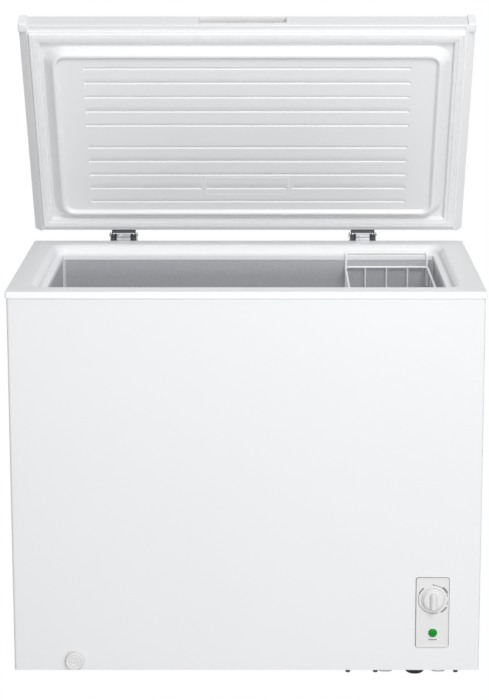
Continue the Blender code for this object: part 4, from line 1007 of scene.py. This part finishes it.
def consistent(points, faces, count):
    """Makes the visible skin of the panel face down, its back up and its border strip outwards."""
    quads = np.array(faces)
    normal = np.cross(points[quads[:, 1]] - points[quads[:, 0]], points[quads[:, 2]] - points[quads[:, 1]])
    middle = points.mean(0)
    wanted = np.zeros_like(normal)
    wanted[:count, 2], wanted[count:2 * count, 2] = -1.0, 1.0
    outwards = points[quads[2 * count:]].mean(1) - middle
    outwards[:, 2] = 0.0
    wanted[2 * count:] = outwards
    flip = np.einsum("ij,ij->i", normal, wanted) < 0
    quads[flip] = quads[flip][:, ::-1]
    return quads.tolist()


def make_seal():
    """Lid seal: a section with three soft folds over a magnet bulb, carried round a rectangle with square
    mitred corners."""
    low, high = SEAL_LOW, SEAL_HIGH
    z = low[2]
    section = eased([(0.0000, z + 0.0109), (0.0000, z + 0.0036), (0.0016, z + 0.0010), (0.0052, z + 0.0002),
                     (0.0060, z + 0.0020), (0.0068, z + 0.0002), (0.0150, z + 0.0002), (0.0158, z + 0.0030),
                     (0.0168, z + 0.0012), (0.0216, z + 0.0024), (0.0232, z + 0.0056), (0.0212, z + 0.0076),
                     (0.0234, z + 0.0092), (0.0234, z + 0.0109)],
                    [0.0002, 0.002, 0.002, 0.0008, 0.0005, 0.0008, 0.0008, 0.0005, 0.0008, 0.002,
                      0.001, 0.001, 0.001,
                     0.0002], 4, True)
    inset = section[:, 0]
    loops = rounded_loops(low[0] + inset, high[0] - inset, low[1] + inset, high[1] - inset,
                          np.interp(inset, [0, 0.0235], [0.0030, 0.0006]), 5)
    skin = loft(stand(loops, section[:, 1]), True)
    piece("lid_seal_bellows", [skin], "lid", "gasket_vinyl", ["lid_gasket"], lid=True)


def make_grip():
    """Recessed grip: a flange with a rolled edge round a pocket whose walls lean in and whose floor is
    rounded; the back of the pocket closes the ring."""
    x0, x1, z0, z1 = GRIP_LOW[0], GRIP_HIGH[0], GRIP_LOW[2], GRIP_HIGH[2]
    front, deep = LID_LOW[1], GRIP_HIGH[1]
    path = eased([(0.0000, front - 0.0002), (0.0000, front - 0.0016), (0.0024, front - 0.0016),
                  (0.0034, front + 0.0030),
                  (0.0048, deep - 0.0030), (0.0090, deep - 0.0018)], [0, 0.0010, 0.0012, 0.003, 0.004, 0], 6)
    back = np.array([[0.0090, deep - 0.0002], [0.0030, deep - 0.0006], [0.0014, front + 0.0016],
                     [0.0006, front - 0.0002]])
    section = np.concatenate([back, path])
    inset = section[:, 0]
    radius = np.maximum(0.0050 - inset * 0.35, 0.0015)
    loops = rounded_loops(x0 + inset, x1 - inset, z0 + inset, z1 - inset, radius, 6)
    skin = stand(loops, section[:, 1], "Y")
    piece("lid_grip_pocket", [loft(skin)], "lid", "white_plastic", ["handle_pocket"], sharp=50.0, lid=True)


# ------------------------------------------------------------------ hinges

def plate(x0, x1, z0, z1, y0, y1, radius=0.0008):
    """Upright plate with rounded corners and eased front edge."""
    ease = np.array([0.0, 0.0, 0.0003, 0.0008])
    loops = rounded_loops(x0 + ease, x1 - ease, z0 + ease, z1 - ease, np.maximum(radius - ease, 0.0002), 4)
    return loft(stand(loops, [y1, y0 + 0.0008, y0 + 0.0003, y0], "Y"))


def make_hinges():
    """Front of each hinge: bar under the lid, bright centre plate between black plates that are painted shade for
    the dark slots, ears, and screws.
    """
    for side in ("left", "right"):
        low, high = corners(f"hinge_bracket_{side}")
        x = (low[0] + high[0]) / 2
        y, z = HINGE[1], HINGE[2]
        bar = plate(x - 0.0250, x + 0.0250, z + 0.0052, z + 0.0122, y - 0.0052, y - 0.0036)
        piece(f"hinge_bar_{side}", [bar], "lid", "dark_steel")
        front, slots, ears = [], [], []
        for below, above, ahead in ((-0.0130, -0.0035, 0.0092), (-0.0038, 0.0040, 0.0058)):
            foot, face = z + below, y - ahead
            front.append(plate(x - 0.0155, x + 0.0155, foot, z + above, face - 0.0002, face + 0.0010))
            # Black plates just behind the front plates: painted shade that stands in for the dark gaps of the
            # slots.
            for a, b in ((-0.0205, -0.0150), (0.0150, 0.0205)):
                slots.append(plate(x + a, x + b, foot, z + above + 0.0002, face + 0.0002, face + 0.0014))
            for a, b in ((-0.0285, -0.0200), (0.0200, 0.0285)):
                ears.append(plate(x + a, x + b, foot, z + min(above, 0.0016), face, face + 0.0012, 0.0010))
        piece(f"hinge_front_plate_{side}", front, "cabinet", "zinc_steel")
        piece(f"hinge_slot_shade_{side}", slots, "cabinet", "black_plastic")
        piece(f"hinge_ears_{side}", ears, "cabinet", "dark_steel")
        screws = [screw(x + dx, HINGE[1] - 0.0102, v, 0.0036)
                  for dx in (-0.014, 0.014) for v in (0.826, 0.839)]
        piece(f"hinge_leaf_screws_{side}", screws, "lid", "zinc_steel", lid=True)
        back = low[1] + 0.0015
        screws = [screw(x + dx, back + 0.0021, v, 0.0036) for dx in (-0.018, 0.018) for v in (0.712, 0.752)]
        piece(f"hinge_bracket_screws_{side}", screws, "cabinet", "zinc_steel")


# ------------------------------------------------------------------ stage

def dress_nodes():
    """Gives every node that still shows the finish of its slot."""
    slots = {part["node"]: part["material_slot"] for part in frame["record"]["subparts"]}
    for name, node in frame["nodes"].items():
        node.data.materials.clear()
        node.data.materials.append(finish_of(slots[name]))


def area_light(name, place, target, size, power):
    light = bpy.data.lights.new(name, "AREA")
    light.shape = "RECTANGLE"
    light.size, light.size_y = size
    light.energy = power
    obj = bpy.data.objects.new(name, light)
    obj.location = place
    obj.rotation_euler = (Vector(target) - Vector(place)).to_track_quat("-Z", "Y").to_euler()
    bpy.context.scene.collection.objects.link(obj)


def camera_mix(nodes, links, seen, lit):
    """Joins two shaders: the first is what the camera sees, the second is what lights the freezer."""
    path, mix = nodes.new("ShaderNodeLightPath"), nodes.new("ShaderNodeMixShader")
    links.new(path.outputs["Is Camera Ray"], mix.inputs[0])
    links.new(lit, mix.inputs[1])
    links.new(seen, mix.inputs[2])
    return mix.outputs[0]


def make_world(stage):
    """White surround to the eye. As light it grows from a base by a share of the cosine to one direction."""
    world = bpy.data.worlds.new("studio")
    world.use_nodes = True
    nodes, links = world.node_tree.nodes, world.node_tree.links
    nodes.clear()
    output = nodes.new("ShaderNodeOutputWorld")
    seen, lit = nodes.new("ShaderNodeBackground"), nodes.new("ShaderNodeBackground")
    seen.inputs["Color"].default_value = (1.0, 1.0, 1.0, 1.0)
    coords, towards, ramp = (nodes.new(kind) for kind in ("ShaderNodeTexCoord", "ShaderNodeVectorMath",
                                                          "ShaderNodeMapRange"))
    towards.operation = "DOT_PRODUCT"
    towards.inputs[1].default_value = (0.58, -0.45, 0.68)
    ramp.inputs["From Min"].default_value, ramp.inputs["From Max"].default_value = -1.0, 1.0
    ramp.inputs["To Min"].default_value = stage.surround * (1 - stage.slope)
    ramp.inputs["To Max"].default_value = stage.surround * (1 + stage.slope)
    links.new(coords.outputs["Generated"], towards.inputs[0])
    links.new(towards.outputs["Value"], ramp.inputs["Value"])
    links.new(ramp.outputs["Result"], lit.inputs["Strength"])
    links.new(camera_mix(nodes, links, seen.outputs[0], lit.outputs[0]), output.inputs[0])
    bpy.context.scene.world = world


def make_stage():
    stage = bpy.context.scene.freezer_stage
    make_world(stage)
    floor_finish = Finish("floor_white", (0.30, 0.30, 0.30), 0.6, **{"Emission Color": (1, 1, 1, 1),
                                                                     "Emission Strength": stage.floor_glow})
    floor_finish.bump(floor_finish.noise(30.0), 0.02, 0.001)
    nodes, links = floor_finish.tree.nodes, floor_finish.tree.links
    white = floor_finish.node("ShaderNodeEmission", None, {"Color": (1, 1, 1, 1), "Strength": 1.0})
    mixed = camera_mix(nodes, links, white.outputs[0], floor_finish.shader.outputs[0])
    links.new(mixed, nodes["Material Output"].inputs[0])
    mesh = bpy.data.meshes.new("floor")
    reach = 14.0
    square = [(-reach, -reach, 0), (reach, -reach, 0), (reach, reach, 0), (-reach, reach, 0)]
    mesh.from_pydata(square, [], [(0, 1, 2, 3)])
    mesh.materials.append(floor_finish.material)
    floor = bpy.data.objects.new("floor", mesh)
    bpy.context.scene.collection.objects.link(floor)
    area_light("key", (1.0, -3.2, 3.4), (0, 0, 0.8), (1.8, 1.4), stage.key_power)
    area_light("fill", (0.9, -4.8, 1.05), (0, 0, 0.9), (2.4, 1.0), stage.fill_power)
    camera = bpy.data.cameras.new("camera")
    camera.sensor_width = 36.0
    camera.lens = stage.focal / 700.0 * 36.0
    camera.shift_x, camera.shift_y = stage.shift_x, stage.shift_y
    obj = bpy.data.objects.new("camera", camera)
    obj.location = (stage.camera_x, FRAME_LOW[1] - stage.camera_distance, FLANGE_Z + stage.camera_height)
    obj.rotation_euler = (math.pi / 2 - stage.tilt, 0.0, 0.0)
    bpy.context.scene.collection.objects.link(obj)
    bpy.context.scene.camera = obj
    bpy.context.scene.view_settings.view_transform = "Standard"


# ------------------------------------------------------------------ add-on

def number(name, text, value, **more):
    """Number setting."""
    return FloatProperty(name=name, description=text, default=value, **more)


def colour(name, text, value):
    """Colour setting of a finish."""
    return FloatVectorProperty(name=name, description=text, default=value, min=0.0, max=1.0, size=3,
                               subtype="COLOR")


class FreezerLook(bpy.types.PropertyGroup):
    """Colours and measures of the pieces"""
    enamel_colour: colour("Enamel", "Colour of the cabinet and lid steel", (0.775, 0.783, 0.795))
    frame_colour: colour("Top frame", "Colour of the frame round the opening", (0.870, 0.878, 0.890))
    plastic_colour: colour("White plastic", "Colour of the dial, vent and drain", (0.715, 0.717, 0.715))
    cap_colour: colour("End caps", "Colour of the lid's end caps", (0.85, 0.857, 0.867))
    lid_panel_colour: colour("Lid panel", "Colour of the lid's inner panel", (0.835, 0.842, 0.852))
    seal_colour: colour("Seal", "Colour of the lid's seal", (0.83, 0.837, 0.847))
    tub_colour: colour("Tub", "Colour of the embossed aluminium", (0.62, 0.63, 0.655))
    lamp_colour: colour("Lamp", "Colour of the indicator lens", (0.003, 0.22, 0.010))
    stucco_scale: number("Stucco scale", "Pebbles per metre of the tub's relief", 330.0, min=40.0,
                         max=600.0)
    rim_wire: number("Rim wire", "Diameter of the basket's rim and hanger wire", 0.0054, min=0.002,
                     max=0.008, unit="LENGTH")
    basket_wire: number("Basket wire", "Diameter of the basket's thin wires", 0.0036, min=0.001,
                        max=0.006, unit="LENGTH")


class FreezerStage(bpy.types.PropertyGroup):
    """Surround, lights and camera"""
    surround: number("Surround", "Strength of the bright surround", 0.56, min=0.0)
    slope: number("Slope", "How much brighter the surround is above", 0.50, min=0.0)
    floor_glow: number("Floor glow", "Light given off by the floor", 0.20, min=0.0)
    key_power: number("Key light", "Power of the light above", 76.0, min=0.0, unit="POWER")
    fill_power: number("Fill light", "Power of the light in front", 64.0, min=0.0, unit="POWER")
    camera_x: number("Camera x", "Camera's place across the front", 0.0393, unit="LENGTH")
    camera_distance: number("Camera distance", "Distance in front of the frame", 3.836, unit="LENGTH")
    camera_height: number("Camera height", "Height above the frame", 0.856, unit="LENGTH")
    tilt: number("Tilt", "Downward tilt of the camera", math.radians(10.24), subtype="ANGLE")
    focal: number("Focal length", "Focal length, for a frame 700 units high", 2009.1)
    shift_x: number("Shift x", "Sideways shift of the frame", -0.0309)
    shift_y: number("Shift y", "Upward shift of the frame", -0.20)


class FREEZER_OT_nodes(bpy.types.Operator):
    """Give the hidden and hinge pieces their finishes"""
    bl_idname = "freezer.nodes"
    bl_label = "Dress CAD pieces"
    bl_options = {"REGISTER", "UNDO"}

    def execute(self, context):
        dress_nodes()
        return {"FINISHED"}


class FREEZER_OT_shell(bpy.types.Operator):
    """Build the cabinet's wrapper"""
    bl_idname = "freezer.shell"
    bl_label = "Cabinet shell"
    bl_options = {"REGISTER", "UNDO"}

    def execute(self, context):
        make_cabinet_shell()
        return {"FINISHED"}


class FREEZER_OT_top_frame(bpy.types.Operator):
    """Build the moulded frame round the opening"""
    bl_idname = "freezer.top_frame"
    bl_label = "Top frame"
    bl_options = {"REGISTER", "UNDO"}

    def execute(self, context):
        make_top_frame()
        return {"FINISHED"}


class FREEZER_OT_tub(bpy.types.Operator):
    """Build the tub's corner beads"""
    bl_idname = "freezer.tub"
    bl_label = "Tub trims"
    bl_options = {"REGISTER", "UNDO"}

    def execute(self, context):
        make_tub_trims()
        return {"FINISHED"}


class FREEZER_OT_vents(bpy.types.Operator):
    """Build the side grille"""
    bl_idname = "freezer.vents"
    bl_label = "Vents"
    bl_options = {"REGISTER", "UNDO"}

    def execute(self, context):
        make_vents()
        return {"FINISHED"}


class FREEZER_OT_back(bpy.types.Operator):
    """Build the rear cover's hoods and screws"""
    bl_idname = "freezer.back"
    bl_label = "Back"
    bl_options = {"REGISTER", "UNDO"}

    def execute(self, context):
        make_back()
        return {"FINISHED"}


class FREEZER_OT_underside(bpy.types.Operator):
    """Build the feet and base bolts"""
    bl_idname = "freezer.underside"
    bl_label = "Underside"
    bl_options = {"REGISTER", "UNDO"}

    def execute(self, context):
        make_underside()
        return {"FINISHED"}


class FREEZER_OT_controls(bpy.types.Operator):
    """Build the control plate, dial, scale and lamp"""
    bl_idname = "freezer.controls"
    bl_label = "Controls"
    bl_options = {"REGISTER", "UNDO"}

    def execute(self, context):
        make_controls()
        return {"FINISHED"}


class FREEZER_OT_drain(bpy.types.Operator):
    """Build the drain fitting, cap and plug"""
    bl_idname = "freezer.drain"
    bl_label = "Drain"
    bl_options = {"REGISTER", "UNDO"}

    def execute(self, context):
        make_drain()
        return {"FINISHED"}


class FREEZER_OT_basket(bpy.types.Operator):
    """Build the basket's wires"""
    bl_idname = "freezer.basket"
    bl_label = "Basket"
    bl_options = {"REGISTER", "UNDO"}

    def execute(self, context):
        make_basket()
        return {"FINISHED"}


class FREEZER_OT_lid_panel(bpy.types.Operator):
    """Build the lid's outer sheet"""
    bl_idname = "freezer.lid_panel"
    bl_label = "Lid sheet"
    bl_options = {"REGISTER", "UNDO"}

    def execute(self, context):
        make_lid_panel()
        return {"FINISHED"}


class FREEZER_OT_end_caps(bpy.types.Operator):
    """Build the lid's end caps"""
    bl_idname = "freezer.end_caps"
    bl_label = "End caps"
    bl_options = {"REGISTER", "UNDO"}

    def execute(self, context):
        make_end_caps()
        return {"FINISHED"}


class FREEZER_OT_lid_liner(bpy.types.Operator):
    """Build the lid's pressed inner panel"""
    bl_idname = "freezer.lid_liner"
    bl_label = "Lid panel"
    bl_options = {"REGISTER", "UNDO"}

    def execute(self, context):
        make_lid_liner()
        return {"FINISHED"}


class FREEZER_OT_seal(bpy.types.Operator):
    """Build the lid's seal"""
    bl_idname = "freezer.seal"
    bl_label = "Seal"
    bl_options = {"REGISTER", "UNDO"}

    def execute(self, context):
        make_seal()
        return {"FINISHED"}


class FREEZER_OT_grip(bpy.types.Operator):
    """Build the lid's recessed grip"""
    bl_idname = "freezer.grip"
    bl_label = "Grip"
    bl_options = {"REGISTER", "UNDO"}

    def execute(self, context):
        make_grip()
        return {"FINISHED"}


class FREEZER_OT_hinges(bpy.types.Operator):
    """Build the fronts and screws of the hinges"""
    bl_idname = "freezer.hinges"
    bl_label = "Hinges"
    bl_options = {"REGISTER", "UNDO"}

    def execute(self, context):
        make_hinges()
        return {"FINISHED"}


class FREEZER_OT_stage(bpy.types.Operator):
    """Build the floor, light and camera"""
    bl_idname = "freezer.stage"
    bl_label = "Stage"
    bl_options = {"REGISTER", "UNDO"}

    def execute(self, context):
        make_stage()
        return {"FINISHED"}


OPERATORS = (FREEZER_OT_nodes, FREEZER_OT_shell, FREEZER_OT_top_frame, FREEZER_OT_tub,
             FREEZER_OT_vents, FREEZER_OT_back, FREEZER_OT_underside, FREEZER_OT_controls,
             FREEZER_OT_drain, FREEZER_OT_basket, FREEZER_OT_lid_panel, FREEZER_OT_end_caps,
             FREEZER_OT_lid_liner, FREEZER_OT_seal, FREEZER_OT_grip, FREEZER_OT_hinges,
             FREEZER_OT_stage)


class FREEZER_PT_panel(bpy.types.Panel):
    """Sidebar panel with the freezer's settings and pieces"""
    bl_idname = "FREEZER_PT_panel"
    bl_label = "Chest freezer"
    bl_space_type = "VIEW_3D"
    bl_region_type = "UI"
    bl_category = "Freezer"

    def draw(self, context):
        for group in (context.scene.freezer_look, context.scene.freezer_stage):
            for key in group.__annotations__:
                self.layout.prop(group, key)
        for made in OPERATORS:
            self.layout.operator(made.bl_idname)


def register():
    """Registers the classes and the two groups of settings."""
    for made in (FreezerLook, FreezerStage, *OPERATORS, FREEZER_PT_panel):
        bpy.utils.register_class(made)
    bpy.types.Scene.freezer_look = PointerProperty(type=FreezerLook)
    bpy.types.Scene.freezer_stage = PointerProperty(type=FreezerStage)


def unregister():
    """Takes both away again."""
    del bpy.types.Scene.freezer_stage
    del bpy.types.Scene.freezer_look
    for made in (FREEZER_PT_panel, *reversed(OPERATORS), FreezerStage, FreezerLook):
        bpy.utils.unregister_class(made)


def main():
    """Builds every piece in order, then the stage."""
    register()
    for made in OPERATORS:
        getattr(bpy.ops.freezer, made.bl_idname.split(".")[1])()


if __name__ == "__main__":
    main()
